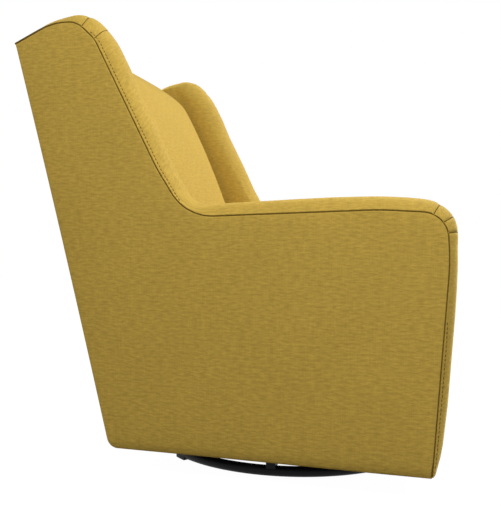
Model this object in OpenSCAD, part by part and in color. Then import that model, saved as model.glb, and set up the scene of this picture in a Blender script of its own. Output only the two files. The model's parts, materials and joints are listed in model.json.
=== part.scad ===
// Swivel glider chair. An upholstered seat with wing sides hangs on four links from a
// cradle, and the cradle turns on a ball bearing over a round floor base.
// Millimetres. Z is up, the chair faces -Y, and its left side is +X. The origin is on
// the floor, under the middle of the chair's width and depth.

/* [Chair] */
// Width over the two outer side panels
chair_w = 744; // [680:2:840]
// Depth from the crown of the arm fronts to the rear corners
chair_d = 948; // [930:2:1000]
// Height of the underside above the floor
underside_z = 50; // [48:1:56]
// Height of the side seam along the wing's top
wing_top_z = 963; // [955:1:1000]
// Height of the side seam at the wing's front corner, below the top
wing_face_z = 921.5; // [915:0.5:930]
// Height of the side seam at the wing's rear corner
wing_rear_z = 924; // [900:1:936]
// Height of the side seam where the wing straightens
wing_bend_z = 643; // [635:1:655]
// Height of the side seam where the arm meets the wing
arm_rear_z = 539; // [530:0.5:550]
// Height of the side seam at the crest of the arm
arm_crest_z = 552; // [546:0.5:560]
// Height of the side seam at the arm's front corner
arm_front_z = 545; // [540:0.5:550]
// Height at which the arm's front turns upright
front_bend_z = 455; // [440:1:470]

/* [Side outline] */
// How far the front edge leans back from its bend to the foot
front_rake = 28; // [10:1:40]
// How far the arm's front corner lies behind the front's bend
arm_front_setback = 6; // [2:0.5:12]
// Front's bend to the crest of the arm
arm_crest_run = 131; // [110:1:160]
// How far the rear edge leans back from the foot to the wing's rear corner
back_rake = 241; // [200:0.5:260]
// Rear corner to the corner where the arm meets the wing
wing_foot_run = 408; // [400:1:418]
// Rear corner to where the wing straightens
wing_bend_run = 340; // [332:1:348]
// Rear corner to the wing's front corner, below the top
wing_face_run = 194; // [186:1:200]
// Rear corner to the front of the wing's top
wing_top_run = 150; // [144:1:156]
// Rear corner to the rear of the wing's level top
wing_shoulder_run = 89; // [80:1:96]
// Radius of the front's bend
front_bend_r = 500; // [100:10:600]
// Radius at the front of the arm
arm_front_r = 50; // [30:1:60]
// Radius at the crest of the arm
arm_crest_r = 500; // [100:10:600]
// Radius where the arm meets the wing
wing_foot_r = 107; // [60:1:120]
// Radius where the wing straightens
wing_bend_r = 400; // [100:10:500]
// Radius at the wing's front corner, below the top
wing_face_r = 60; // [30:1:100]
// Radius at the front of the wing's top
wing_front_r = 57; // [30:1:70]
// Radius at the rear of the wing's top
wing_rear_r = 135; // [80:1:160]
// Radius at the rear corner of the wing
wing_corner_r = 2; // [1:0.5:6]
// Radius at the rear foot
foot_rear_r = 22; // [10:1:30]
// Radius at the front foot
foot_front_r = 3; // [1:0.5:10]

/* [Sides] */
// Thickness of a whole side, arm and wing alike
side_t = 96; // [84:1:110]
// Thickness of the padded fabric on the outside
panel_t = 8; // [5:0.5:12]
// Thickness of the plywood side frame
ply_t = 20; // [15:1:25]
// Crown of the edge band on the arm and the wing's front
band_crown = 28; // [15:1:32]
// Crown of the edge band on the front of the arm
band_front_crown = 11; // [8:1:20]
// Crown of the edge band at the front foot
band_foot_crown = 7; // [4:1:12]
// Crown of the edge band at the wing's rear corner
band_rear_crown = 8; // [2:1:10]
// Thickness of the band's fabric at its seams
band_edge_t = 2.5; // [1.5:0.5:4]

/* [Seat] */
// Height of the seat cushion's top edge
seat_z = 465; // [440:1:480]
// Thickness of the seat cushion at its sides
cushion_t = 150; // [120:1:160]
// Crown of the seat cushion
cushion_crown = 22; // [10:1:30]
// How far the cushion's sides pull in between its corners
cushion_draw = 4; // [0:0.5:6]
// Radius of the cushion's upright corners
cushion_corner_r = 38; // [20:1:60]
// Radius of the cushion's top and bottom edges
cushion_edge_r = 20; // [8:1:30]
// Arm front seam to the front of the cushion
cushion_setback = 14; // [8:1:30]
// Thickness of the felt deck under the cushion
deck_t = 12; // [6:1:20]
// Front seam to the inside back at seat height
seat_reach = 585; // [560:1:590]
// Height of the inside back's ridge
back_top_z = 968; // [955:1:980]
// Forward crown of the inside back
back_crown = 30; // [10:1:35]
// Roll of the inside back's edges towards the wings
back_edge_roll = 12; // [5:1:20]
// Width of that roll
back_roll_w = 18; // [12:1:40]
// Radius where the inside back leaves the cushion
back_foot_r = 80; // [40:1:100]
// Radius at the upper bend of the inside back
back_bend_r = 120; // [60:1:160]
// Radius in front of the inside back's ridge
back_ridge_r = 60; // [30:1:65]
// Radius behind the inside back's ridge
back_rear_r = 22; // [10:1:24]
// Arm front seam to the face of the front border
border_setback = 20; // [16:1:40]
// Thickness of the padded front border
border_t = 24; // [15:1:30]
// Crown of the front border
border_crown = 8; // [2:1:12]

/* [Wooden frame] */
// Thickness of the front board
front_board_t = 20; // [15:1:25]
// Thickness of the rails of the back and the seat
rail_t = 22; // [18:1:25]
// Height of the rails of the back
back_rail_h = 62; // [45:1:75]
// Height of the rear seat rail
seat_rail_h = 98; // [70:1:110]
// Rear seat rail behind the inside back's foot
seat_rail_setback = 47; // [30:1:60]
// Lower back rail's lower edge above the foot, up the back
lower_back_rail_z = 270; // [262:1:300]
// Top rail's lower edge below the wing's rear corner, down the back
top_rail_drop = 110; // [100:1:140]
// Width of a mechanism board
board_w = 70; // [50:1:80]
// Thickness of a mechanism board
board_t = 22; // [18:1:25]
// Width and height of a cleat
cleat_w = 22; // [18:1:30]

/* [Seat springs and webbing] */
// Wire of the seat springs
spring_wire = 4; // [3:0.5:5]
// Width of a seat spring over its bends
spring_w = 50; // [40:1:60]
// Room between the outer seat springs and the sides
spring_side_room = 27; // [15:1:60]
// Number of seat springs
spring_count = 5; // [3:1:5]
// Number of bends in a seat spring
spring_bends = 18; // [12:2:24]
// Width of a strap of the back webbing
strap_w = 50; // [30:1:60]
// Thickness of a strap
strap_t = 2.5; // [1.5:0.5:4]
// Number of straps
strap_count = 5; // [3:1:6]

/* [Dust cover] */
// Thickness of the dust cover
dust_t = 1.5; // [1:0.5:3]
// Room in the dust cover beside the mechanism rails
dust_side_room = 8; // [5:1:30]
// Room in the dust cover before and behind the swinging cradle
dust_end_room = 14; // [8:1:30]

/* [Floor base] */
// Radius of the floor ring to the middle of its tube
ring_r = 306; // [280:1:330]
// Diameter of the ring's tube
ring_tube_d = 22; // [18:1:24]
// Wall of the ring's tube
ring_wall = 2; // [1.5:0.5:3]
// Swivel axis behind the arm's front seam
swivel_setback = 382; // [360:1:400]
// Turn of the base under the chair
base_turn = 5; // [0:1:45]
// Width and height of a cross tube
cross_w = 20; // [16:1:22]
// Wall of a cross tube
cross_wall = 1.5; // [1:0.5:2]
// Depth of the cope where a cross tube sits on the ring
cope_depth = 4; // [2:0.5:5]
// Thickness of the hub plate
hub_t = 5; // [4:0.5:6]
// Radius of the hub plate
hub_r = 75; // [70:1:90]
// Number of floor glides
glide_count = 4; // [4:1:8]
// Height of a glide's sole below the ring
glide_sole = 2; // [1.5:0.5:4]
// Width of a floor glide
glide_w = 20; // [14:1:22]
// Length of a floor glide along the ring
glide_l = 34; // [20:1:60]

/* [Swivel bearing] */
// Radius of the ball track
track_r = 48; // [42:1:54]
// Diameter of a ball
ball_d = 9; // [7:0.5:10]
// Number of balls
ball_count = 20; // [12:1:22]
// Radial width of a race
race_w = 28; // [22:1:32]
// Thickness of a race
race_t = 7; // [6:0.5:9]
// Opening between the two races
race_gap = 5; // [4:0.5:6]
// Thickness of the ball cage
cage_t = 2; // [1:0.5:3]
// Diameter of the centre bolt
bolt_d = 16; // [12:1:18]

/* [Glide mechanism] */
// Distance between a link's two pivots
link_len = 100; // [80:1:110]
// Half width of a link at its pivots
link_r = 13; // [12:0.5:15]
// Thickness of a link
link_t = 6; // [5:0.5:8]
// Distance between the front and rear pivots
pivot_spread = 210; // [190:2:230]
// Greatest swing of a link to either side
swing_deg = 22; // [10:1:24]
// Distance between the outer faces of the cradle's cheeks
cradle_w = 244; // [210:2:260]
// Thickness of the cradle's plate
cradle_t = 5; // [4:0.5:6]
// Diameter of a pivot pin
pin_d = 10; // [8:1:12]
// Diameter of a pin's shoulder and heads
pin_head_d = 17; // [15:1:20]
// Height of a pin's heads
pin_head_h = 3.5; // [2.5:0.5:4]
// Wall of a pivot bush
bush_wall = 2.5; // [2:0.5:3]
// Thickness of a bush's flange
bush_flange_t = 1.5; // [1:0.5:2]
// Length of a mechanism rail
rail_l = 380; // [360:2:440]
// Thickness of a mechanism rail's steel
web_t = 4; // [3:0.5:5]
// Width of a mechanism rail's flange
flange_w = 40; // [32:1:50]
// Room over the cradle's cheeks, under the rails' flanges
cheek_room = 5; // [3:1:10]
// Room between a bumper and the end of its rail
bumper_end_room = 1; // [0.5:0.5:10]
// Radius of a rubber bumper
bumper_r = 10; // [8:0.5:12]

/* [Screws] */
// Radius of a frame screw
screw_r = 2.5; // [2:0.25:3]
// Length of a frame screw
screw_l = 50; // [40:1:60]
// Radius of a screw's head
screw_head_r = 4.5; // [4:0.25:6]
// Height of a screw's head
screw_head_h = 3; // [2:0.5:4]
// Length of a rail screw
rail_screw_l = 18; // [12:1:20]

/* [Hidden] */
$fn = 48;

// Clearances: between soft pieces, in a running fit, in a tight fit, and a cut's overrun
gap = 0.3;
run_fit = 0.06;
tight_fit = 0.02;
over = 5;

// Colours of the finishes
fabric_colour = [0.68, 0.56, 0.25];
band_colour = [0.78, 0.66, 0.32];
ply_colour = [0.78, 0.64, 0.44];
wood_colour = [0.72, 0.57, 0.38];
steel_colour = [0.08, 0.08, 0.08];
zinc_colour = [0.70, 0.71, 0.72];
nylon_colour = [0.85, 0.85, 0.82];

// Largest step of a rounded corner, in degrees, and of a band's straight run
arc_step = 6;
band_step = 70;
// Share of a leg that one corner's rounding may take
half_share = 0.5;
whole_share = 0.95;

// Places along the depth
rear_y = chair_d / 2;
front_seam_y = band_front_crown + band_edge_t + gap - chair_d / 2;
swivel_y = front_seam_y + swivel_setback;

// Widths
side_out = chair_w / 2;
ply_out = side_out - panel_t;
ply_in = ply_out - ply_t;
side_in = side_out - side_t;

// Slopes of the front and rear edges, and the rear edge's lean and length
front_slope = front_rake / (front_bend_z - underside_z);
back_slope = back_rake / (wing_rear_z - underside_z);
back_lean = atan(back_slope);
front_lean = atan(front_slope);
back_len = (wing_rear_z - underside_z) / cos(back_lean);
shoulder_slope = (wing_top_z - wing_rear_z) / wing_shoulder_run;

// Heights inside the seat
ply_lift = dust_t + gap;
frame_foot_z = underside_z + ply_lift + dust_t + gap;
deck_z = seat_z - cushion_t - gap;
clip_t = spring_wire * 3 / 8;
spring_z = deck_z - deck_t - clip_t - spring_wire - gap;
rail_seat_z = spring_z - clip_t - tight_fit;

// Stack of the floor base and its bearing
ring_z = glide_sole + ring_tube_d / 2;
cross_z = glide_sole + ring_tube_d - cope_depth;
hub_z = cross_z + cross_w;
race_z = hub_z + hub_t;
ball_z = race_z + race_t + race_gap / 2;
cradle_z = race_z + 2 * race_t + race_gap;
ball_clear = 0.1;

// Places of the glide mechanism, outwards from the cheeks
cheek_out = cradle_w / 2;
pin_clear = 0.1;
link_in = cheek_out + 2 * pin_head_h + bush_flange_t;
link_out = link_in + link_t;
web_in = link_out + bush_flange_t + 2 * pin_head_h;
web_out = web_in + web_t;
lower_pivot_z = underside_z + link_r;
upper_pivot_z = lower_pivot_z + link_len;
cheek_top_z = upper_pivot_z + link_r;
rail_top_z = cheek_top_z + cheek_room + web_t;
pin_r = pin_d / 2;
bush_r = pin_r + run_fit;
bush_out_r = bush_r + bush_wall;
bush_flange_r = pin_head_d / 2 + bush_flange_t;
cheek_l = pivot_spread + 4 * link_r;
glide_travel = link_len * sin(swing_deg);
bumper_y = rail_l / 2 - bumper_end_room - bumper_r;
flange_screw_x = web_out + (flange_w - web_t) / 2;

// Outline of a side as corners of y, z and radius, from the front foot upwards. The rear
// edge may lie further in, and the foot further up.
function side_corners(rear_in = 0, foot_up = 0) =
    let (shift = rear_in / cos(back_lean))
    [[front_seam_y + front_rake - front_slope * foot_up, underside_z + foot_up, foot_front_r],
     [front_seam_y, front_bend_z, front_bend_r],
     [front_seam_y + arm_front_setback, arm_front_z, arm_front_r],
     [front_seam_y + arm_crest_run, arm_crest_z, arm_crest_r],
     [rear_y - wing_foot_run, arm_rear_z, wing_foot_r],
     [rear_y - wing_bend_run, wing_bend_z, wing_bend_r],
     [rear_y - wing_face_run, wing_face_z, wing_face_r],
     [rear_y - wing_top_run, wing_top_z, wing_front_r],
     [rear_y - wing_shoulder_run, wing_top_z, wing_rear_r],
     [rear_y - shift, wing_rear_z + shift * shoulder_slope, wing_corner_r],
     [rear_y - shift - back_rake + back_slope * foot_up, underside_z + foot_up, foot_rear_r]];

// Point on the plane of the back: depth inwards from it, and length up it from the foot
function back_point(depth, up) =
    [rear_y - back_rake + up * sin(back_lean) - depth * cos(back_lean),
     underside_z + up * cos(back_lean) + depth * sin(back_lean)];

// Point on the plane of the front: depth inwards from it, and length up it from the foot
function front_point(depth, up) =
    [front_seam_y + front_rake - up * sin(front_lean) + depth * cos(front_lean),
     underside_z + up * cos(front_lean) + depth * sin(front_lean)];

// Length up the front from its foot to a height, at a depth inwards
function front_up_at(depth, z) = (z - underside_z - depth * sin(front_lean)) / cos(front_lean);

// Point at a depth inwards from the plane of the front, and at a height
function front_at(depth, z) = front_point(depth, front_up_at(depth, z));

function unit(v) = v / norm(v);
function turned(angle) = angle > 180 ? angle - 360 : angle < -180 ? angle + 360 : angle;
function flat(lists) = [for (list = lists) for (item = list) item];
function clamped(value) = min(1, max(0, value));
function blend(a, b, t) = a + (b - a) * t;
function smooth(t) = t * t * (3 - 2 * t);

// Points of the arc that rounds corner b between a and c
function corner_arc(a, b, c, radius, share) =
    let (u = unit(a - b), v = unit(c - b), half = acos(u * v) / 2,
         leg = share * min(norm(a - b), norm(c - b)),
         r = min(radius, leg * tan(half)),
         middle = b + unit(u + v) * r / sin(half),
         first = b + u * r / tan(half) - middle,
         last = b + v * r / tan(half) - middle,
         start = atan2(first[1], first[0]),
         sweep = turned(atan2(last[1], last[0]) - start),
         steps = max(1, ceil(abs(sweep) / arc_step)))
    [for (i = [0:steps]) middle + r * [cos(start + sweep * i / steps), sin(start + sweep * i / steps)]];

function place(corner) = [corner[0], corner[1]];

// Closed outline of rounded corners; a radius of zero keeps the corner
function rounded(corners, share = half_share) =
    let (n = len(corners))
    flat([for (i = [0:n - 1])
        let (a = corners[(i + n - 1) % n], b = corners[i], c = corners[(i + 1) % n])
        b[2] > 0 ? corner_arc(place(a), place(b), place(c), b[2], share) : [place(b)]]);

// Points of the straight run between two places, without its ends
function run_between(a, b, step) =
    let (n = ceil(norm(b - a) / step))
    n < 2 ? [] : [for (i = [1:n - 1]) blend(a, b, i / n)];

// Slab between two places along X, from an outline in Y and Z
module slab(x_low, x_high, points) {
    translate([x_low, 0, 0])
        rotate([90, 0, 90])
            linear_extrude(x_high - x_low)
                polygon(points);
}

// Closed skin over a list of rings with as many points each, capped at both ends. With
// two centre points given, the caps are fans round them.
module skin(rings, centres = []) {
    n = len(rings[0]);
    count = len(rings);
    total = n * count;
    sides = [for (k = [0:count - 2]) for (i = [0:n - 1])
        let (j = (i + 1) % n)
        for (face = [[k * n + i, k * n + j, (k + 1) * n + j], [k * n + i, (k + 1) * n + j, (k + 1) * n + i]])
            face];
    flat_caps = [[for (i = [0:n - 1]) n - 1 - i], [for (i = [0:n - 1]) total - n + i]];
    fans = [for (i = [0:n - 1])
        let (j = (i + 1) % n)
        for (face = [[j, i, total], [total - n + i, total - n + j, total + 1]])
            face];
    polyhedron(concat(flat(rings), centres), concat(sides, len(centres) > 0 ? fans : flat_caps));
}

module mirrored() {
    mirror([1, 0, 0])
        children();
}

module both_sides() {
    children();
    mirrored()
        children();
}

// Rod along X between two places
module rod(x_low, x_high, r) {
    translate([x_low, 0, 0])
        rotate([0, 90, 0])
            cylinder(h = x_high - x_low, r = r);
}

// Block between two corners
module block(low, high) {
    translate(low)
        cube(high - low);
}

// Upholstered sides

module side_panel() {
    color(fabric_colour)
        slab(ply_out, side_out, rounded(side_corners()));
}

module side_frame() {
    color(ply_colour)
        difference() {
            slab(ply_in, ply_out - gap, rounded(side_corners(panel_t + gap, ply_lift)));
            frame_screw_set(tight_fit);
        }
}

module inner_pad() {
    pad_points = rounded(side_corners(panel_t + gap, 0));
    color(fabric_colour)
        difference() {
            slab(side_in, ply_in - gap, pad_points);
            block([side_in - over, front_seam_y - side_t, 0], [side_out, rear_y, pad_foot_z]);
            back_rail(top_rail_up, gap);
            back_rail(lower_back_rail_z, gap);
            frame_screw_set(gap);
        }
}

pad_foot_z = rail_seat_z + gap;

// Crowned band that wraps the edge of a side from the front foot to the rear corner
band_power = 2.2;
band_across = 12;
band_corners = side_corners();
band_last = 9;
// Share of the full crown before and after each of the band's corners, over the crown of
// the arm's front and then over the crown of the wing's rear corner
arm_crown_shares = [[0, 0], [0, 0.75], [0.9, 1]];
wing_crown_shares = [[1, 0.2], [0.2, 0.55], [0.85, 0.92], [0.92, 0.85], [0.63, 0.3]];

function crowns_over(crown, shares) = [for (pair = shares) [for (share = pair) blend(crown, band_crown, share)]];

band_crowns = concat([[band_foot_crown, band_foot_crown]], crowns_over(band_front_crown, arm_crown_shares),
    crowns_over(band_rear_crown, wing_crown_shares), [[band_rear_crown, band_rear_crown]]);

// Path of the band, each point with its crown
function with_crown(points, from, to) =
    let (n = len(points) - 1)
    [for (i = [0:n]) [points[i], blend(from, to, smooth(n > 0 ? i / n : 0))]];

function band_arc(k) =
    corner_arc(place(band_corners[k - 1]), place(band_corners[k]), place(band_corners[k + 1]),
        band_corners[k][2], half_share);

function band_straight(from, to, crown_from, crown_to) =
    let (n = ceil(norm(to - from) / band_step))
    n < 2 ? [] : [for (i = [1:n - 1]) [blend(from, to, i / n), blend(crown_from, crown_to, i / n)]];

band_arcs = [for (k = [1:band_last - 1]) with_crown(band_arc(k), band_crowns[k][0], band_crowns[k][1])];
band_start = [place(band_corners[0]), band_foot_crown];
band_end = [place(band_corners[band_last]), band_rear_crown];
band_stops = concat([[band_start]], band_arcs, [[band_end]]);
band_path = flat([for (k = [0:len(band_stops) - 1])
    let (part = band_stops[k], next = band_stops[min(k + 1, len(band_stops) - 1)],
         from = part[len(part) - 1], to = next[0])
    concat(part, k == len(band_stops) - 1 ? [] : band_straight(from[0], to[0], from[1], to[1]))]);

function outward(direction) = [-direction[1], direction[0]];

function path_normal(path, i) =
    outward(unit(path[min(i + 1, len(path) - 1)][0] - path[max(i - 1, 0)][0]));

function band_height(across, crown) = band_edge_t + crown * crown_share(across);

module edge_band() {
    rings = [for (i = [0:len(band_path) - 1])
        let (base = band_path[i][0], normal = path_normal(band_path, i), crown = band_path[i][1],
             low = base + normal * gap)
        concat([[side_in, low[0], low[1]]],
            [for (j = [0:band_across])
                let (across = -cos(180 * j / band_across),
                     x = side_in + side_t * (1 + across) / 2,
                     top = low + normal * band_height(across, crown))
                [x, top[0], top[1]]],
            [[side_out, low[0], low[1]]])];
    color(band_colour)
        skin(rings);
}

// Seat and back upholstery

// Bends of the inside back's front face, as shares of its reach and height over the seat
inside_back_shares = [[0.575, 0.844], [0.796, 0.988], [0.94, 1]];
back_frame_t = panel_t + rail_t + strap_t + 4 * gap;
inside_back_y = front_seam_y + seat_reach;
back_foot_z = deck_z + gap;
top_rail_up = back_len - top_rail_drop;
ridge_step = 45;

function over_seat(share) =
    [blend(inside_back_y, rear_y, share[0]), blend(seat_z, back_top_z, share[1])];

function back_up_at(depth, z) = (z - underside_z - depth * sin(back_lean)) / cos(back_lean);

function inside_back_outline() =
    let (bends = [for (share = inside_back_shares) over_seat(share)],
         rim = back_point(panel_t + gap, back_len),
         shelf_up = top_rail_up + back_rail_h + gap,
         shelf_out = back_point(panel_t + gap, shelf_up),
         shelf_in = back_point(back_frame_t, shelf_up),
         heel = back_point(back_frame_t, back_up_at(back_frame_t, back_foot_z)),
         toe = [inside_back_y, back_foot_z],
         foot = corner_arc(toe, [inside_back_y, seat_z], bends[0], back_foot_r, half_share),
         bend = corner_arc([inside_back_y, seat_z], bends[0], bends[1], back_bend_r, half_share),
         ridge = corner_arc(bends[0], bends[1], bends[2], back_ridge_r, half_share),
         rear = corner_arc(bends[1], bends[2], rim, back_rear_r, half_share))
    concat([toe], foot, run_between(foot[len(foot) - 1], bend[0], ridge_step), bend,
        ridge, rear, [rim, shelf_out, shelf_in, heel]);

back_loop = inside_back_outline();
back_hard_points = 4;
crown_power = 1.2;
back_power = 5;
back_across_shares = [-1, -0.985, -0.955, -0.9, -0.8, -0.6, -0.3, 0, 0.3, 0.6, 0.8, 0.9, 0.955, 0.985, 1];

ridge_y = over_seat(inside_back_shares[2])[0];
shoulder_y = over_seat(inside_back_shares[1])[0];
bend_y = over_seat(inside_back_shares[0])[0];
inside_back_lean = atan((bend_y - inside_back_y) / (over_seat(inside_back_shares[0])[1] - seat_z));

// Forward crown of the inside back at a depth and a place across it
function back_swell(y, across) =
    back_crown * pow(sin(180 * clamped((y - inside_back_y) / (shoulder_y - inside_back_y))), crown_power)
        * (1 - pow(abs(across), back_power));

// Roll of the inside back's edges at a height and a place across it
function back_roll(z, across) =
    let (half = side_in - gap,
         turn = clamped((abs(across) * half - half + back_roll_w) / back_roll_w),
         rise = smooth(clamped((z - seat_z) / back_foot_r)))
    back_edge_roll * rise * (1 - sqrt(1 - turn * turn));

// Place of a point of the loop across the back, with its crown and roll
function back_place(p, across) =
    let (swell = back_swell(p[0], across),
         roll = back_roll(p[1], across),
         front = smooth(clamped((ridge_y - p[0]) / (ridge_y - bend_y))))
    [across * (side_in - gap),
     p[0] + (roll * front - swell) * cos(inside_back_lean),
     p[1] + swell * sin(inside_back_lean) - roll * (1 - front)];

module inside_back() {
    soft_count = len(back_loop) - back_hard_points;
    rings = [for (across = back_across_shares)
        [for (i = [0:len(back_loop) - 1])
            i < soft_count ? back_place(back_loop[i], across)
                : [across * (side_in - gap), back_loop[i][0], back_loop[i][1]]]];
    color(band_colour)
        skin(rings);
}

module outside_back() {
    strip = [back_point(-panel_t, -side_t), back_point(-panel_t, back_len + side_t),
        back_point(panel_t, back_len + side_t), back_point(panel_t, -side_t)];
    color(fabric_colour)
        translate([gap - ply_out, 0, 0])
            rotate([90, 0, 90])
                linear_extrude(2 * (ply_out - gap))
                    intersection() {
                        polygon(rounded(side_corners()));
                        polygon(strip);
                    }
}

// Steps round a cushion's corner and along its side
corner_steps = 3;
side_steps = 7;
// Shares of a cushion's span that its inner rings keep, on its top and underneath
top_shares = [0.85, 0.65, 0.45, 0.2];
under_shares = [0.2, 0.85];

// Outline of a cushion seen from above, drawn in between its corners. Each point's height
// is z plus what the crown adds there.
function cushion_ring(w, d, r, draw, inset, z, crown) =
    let (half_w = w / 2 - inset, half_d = d / 2 - inset, corner = max(r - inset, r * half_share / 2),
         corners = [[half_w, half_d], [-half_w, half_d], [-half_w, -half_d], [half_w, -half_d]])
    [for (k = [0:3])
        let (centre = corners[k] - corner * [sign(corners[k][0]), sign(corners[k][1])],
             next = corners[(k + 1) % 4],
             next_centre = next - corner * [sign(next[0]), sign(next[1])],
             out = [cos(90 * k + 90), sin(90 * k + 90)],
             arc = [for (i = [0:corner_steps])
                 let (turn = 90 * (k + i / corner_steps))
                 centre + corner * [cos(turn), sin(turn)]],
             side = [for (i = [1:side_steps - 1])
                 blend(centre, next_centre, i / side_steps) + out * (corner - draw * sin(180 * i / side_steps))])
        for (p = concat(arc, side))
            [p[0], p[1], z + crown * crown_share(2 * p[0] / w) * crown_share(2 * p[1] / d)]];

function crown_share(across) = 1 - pow(min(1, abs(across)), band_power);

// Boxed cushion standing on Z = 0, crowned on top
module cushion(w, d, h, crown, draw, corner_r, edge_r) {
    edge_turns = [0, 30, 60, 90];
    span = min(w, d) * half_share * whole_share - edge_r;
    low = [for (share = under_shares) [edge_r + (1 - share) * span, 0, 0, 0]];
    under = [for (a = edge_turns) [edge_r * (1 - sin(a)), draw * sin(a), edge_r * (1 - cos(a)), 0]];
    upper = [for (a = edge_turns)
        [edge_r * (1 - cos(a)), draw * cos(a), h - edge_r * (1 - sin(a)), crown * sin(a)]];
    top = [for (share = top_shares) [edge_r + (1 - share) * span, 0, h, crown]];
    color(band_colour)
        skin([for (level = concat(low, under, upper, top))
                cushion_ring(w, d, corner_r, level[1], level[0], level[2], level[3])],
            [[0, 0, 0], [0, 0, h + crown]]);
}

cushion_front_y = front_seam_y + cushion_setback;
cushion_d = inside_back_y - gap - cushion_front_y;

module seat_cushion() {
    translate([0, cushion_front_y + cushion_d / 2, seat_z - cushion_t])
        cushion(2 * (side_in - gap), cushion_d, cushion_t, cushion_crown, cushion_draw,
            cushion_corner_r, cushion_edge_r);
}

border_h = front_up_at(border_setback + border_t, deck_z);
border_edge_r = border_t / 4;

module front_border() {
    foot = front_point(border_setback + border_t, border_h / 2);
    translate([0, foot[0], foot[1]])
        rotate([90 + front_lean, 0, 0])
            cushion(2 * (side_in - gap), border_h, border_t - border_crown, border_crown, 0,
                border_t / 2, border_edge_r);
}

module seat_deck() {
    color("dimgray")
        block([gap - side_in, front_at(board_depth, rail_seat_z)[0], deck_z - deck_t],
            [side_in - gap, seat_rail_y + rail_t, deck_z]);
}

// Wooden frame

board_depth = border_setback + border_t + gap;
board_top_up = front_up_at(board_depth, rail_seat_z);
seat_rail_y = inside_back_y + seat_rail_setback;

module front_posts() {
    post = [front_at(gap, frame_foot_z), front_at(board_depth - gap, frame_foot_z),
        front_at(board_depth - gap, rail_seat_z), front_at(gap, rail_seat_z)];
    color(wood_colour)
        both_sides()
            slab(side_in + gap, ply_in, post);
}

module front_board() {
    board = [front_at(board_depth, frame_foot_z), front_at(board_depth + front_board_t, frame_foot_z),
        front_at(board_depth + front_board_t, rail_seat_z), front_at(board_depth, rail_seat_z)];
    color(ply_colour)
        difference() {
            slab(-ply_in, ply_in, board);
            both_sides()
                frame_screw_set(tight_fit);
        }
}

module rear_seat_rail() {
    color(wood_colour)
        difference() {
            block([-ply_in, seat_rail_y, rail_seat_z - seat_rail_h], [ply_in, seat_rail_y + rail_t, rail_seat_z]);
            both_sides()
                frame_screw_set(tight_fit);
        }
}

// Rail that lies along the plane of the back, with its lower edge this far up it
module back_rail(up, clearance = 0) {
    depth = panel_t + gap;
    low = up - clearance;
    high = up + back_rail_h + clearance;
    slab(-ply_in - clearance, ply_in + clearance,
        [back_point(depth - clearance, low), back_point(depth - clearance, high),
         back_point(depth + rail_t + clearance, high), back_point(depth + rail_t + clearance, low)]);
}

module drilled_back_rail(up) {
    color(wood_colour)
        difference() {
            back_rail(up);
            both_sides()
                frame_screw_set(tight_fit);
        }
}

rear_foot_up = 2 * foot_rear_r;

board_ys = [for (side = [-1, 1]) swivel_y + side * (rail_l - board_w) / 2];

module mechanism_boards() {
    color(wood_colour)
        difference() {
            for (y = board_ys)
                block([-ply_in, y - board_w / 2, rail_top_z], [ply_in, y + board_w / 2, rail_top_z + board_t]);
            both_sides() {
                frame_screw_set(tight_fit);
                rail_screw_set(tight_fit);
            }
        }
}

module board_cleats() {
    color(wood_colour)
        both_sides()
            block([ply_in - cleat_w, board_ys[0] - board_w / 2, rail_top_z - cleat_w],
                [ply_in, board_ys[1] + board_w / 2, rail_top_z]);
}

// Frame screws: where each one goes in, as y and z on a side
screw_places = [
    front_point(board_depth + front_board_t / 2, board_top_up / 4),
    front_point(board_depth + front_board_t / 2, board_top_up * 3 / 4),
    [seat_rail_y + rail_t / 2, spring_z - seat_rail_h * 3 / 4],
    [seat_rail_y + rail_t / 2, spring_z - seat_rail_h / 4],
    [board_ys[0], rail_top_z + board_t / 2],
    [board_ys[1], rail_top_z + board_t / 2],
    back_point(panel_t + rail_t / 2, rear_foot_up + back_rail_h / 4),
    back_point(panel_t + rail_t / 2, rear_foot_up + back_rail_h * 3 / 4),
    back_point(panel_t + rail_t / 2, lower_back_rail_z + back_rail_h / 4),
    back_point(panel_t + rail_t / 2, lower_back_rail_z + back_rail_h * 3 / 4),
    back_point(panel_t + rail_t / 2, top_rail_up + back_rail_h / 4),
    back_point(panel_t + rail_t / 2, top_rail_up + back_rail_h * 3 / 4)];

module frame_screw_set(clearance = 0) {
    for (p = screw_places)
        translate([0, p[0], p[1]]) {
            rod(ply_out - gap - screw_l, ply_out - gap - screw_head_h + clearance, screw_r + clearance);
            rod(ply_out - gap - screw_head_h, ply_out - gap + (clearance > 0 ? over : 0), screw_head_r + clearance);
        }
}

module frame_screws() {
    color(zinc_colour)
        both_sides()
            frame_screw_set();
}

// Seat springs and back webbing

spring_front_y = front_at(board_depth + front_board_t / 2, rail_seat_z)[0];
spring_rear_y = seat_rail_y + rail_t / 2;
spring_bend_step = 45;
clip_l = rail_t * 3 / 4;
clip_w = spring_w / 2;

// Middle line of a seat spring: straight bars across, joined by round bends
function spring_line() =
    let (step = (spring_rear_y - spring_front_y) / spring_bends, r = step / 2, half = spring_w / 2 - r,
         last_side = spring_bends % 2 == 0 ? 1 : -1)
    concat([[-half, spring_front_y]],
        flat([for (k = [0:spring_bends - 1])
            let (side = k % 2 == 0 ? 1 : -1, y = spring_front_y + step * k + r)
            [for (a = [-90:spring_bend_step:90]) [side * (half + r * cos(a)), y + r * sin(a)]]]),
        [[last_side * half, spring_rear_y]]);

function line_normal(line, i) =
    let (d = unit(line[min(i + 1, len(line) - 1)] - line[max(i - 1, 0)]))
    [-d[1], d[0]];

module seat_spring() {
    line = spring_line();
    n = len(line) - 1;
    left = [for (i = [0:n]) line[i] + line_normal(line, i) * spring_wire / 2];
    right = [for (i = [n:-1:0]) line[i] - line_normal(line, i) * spring_wire / 2];
    translate([0, 0, spring_z])
        linear_extrude(spring_wire)
            polygon(concat(left, right));
}

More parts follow.
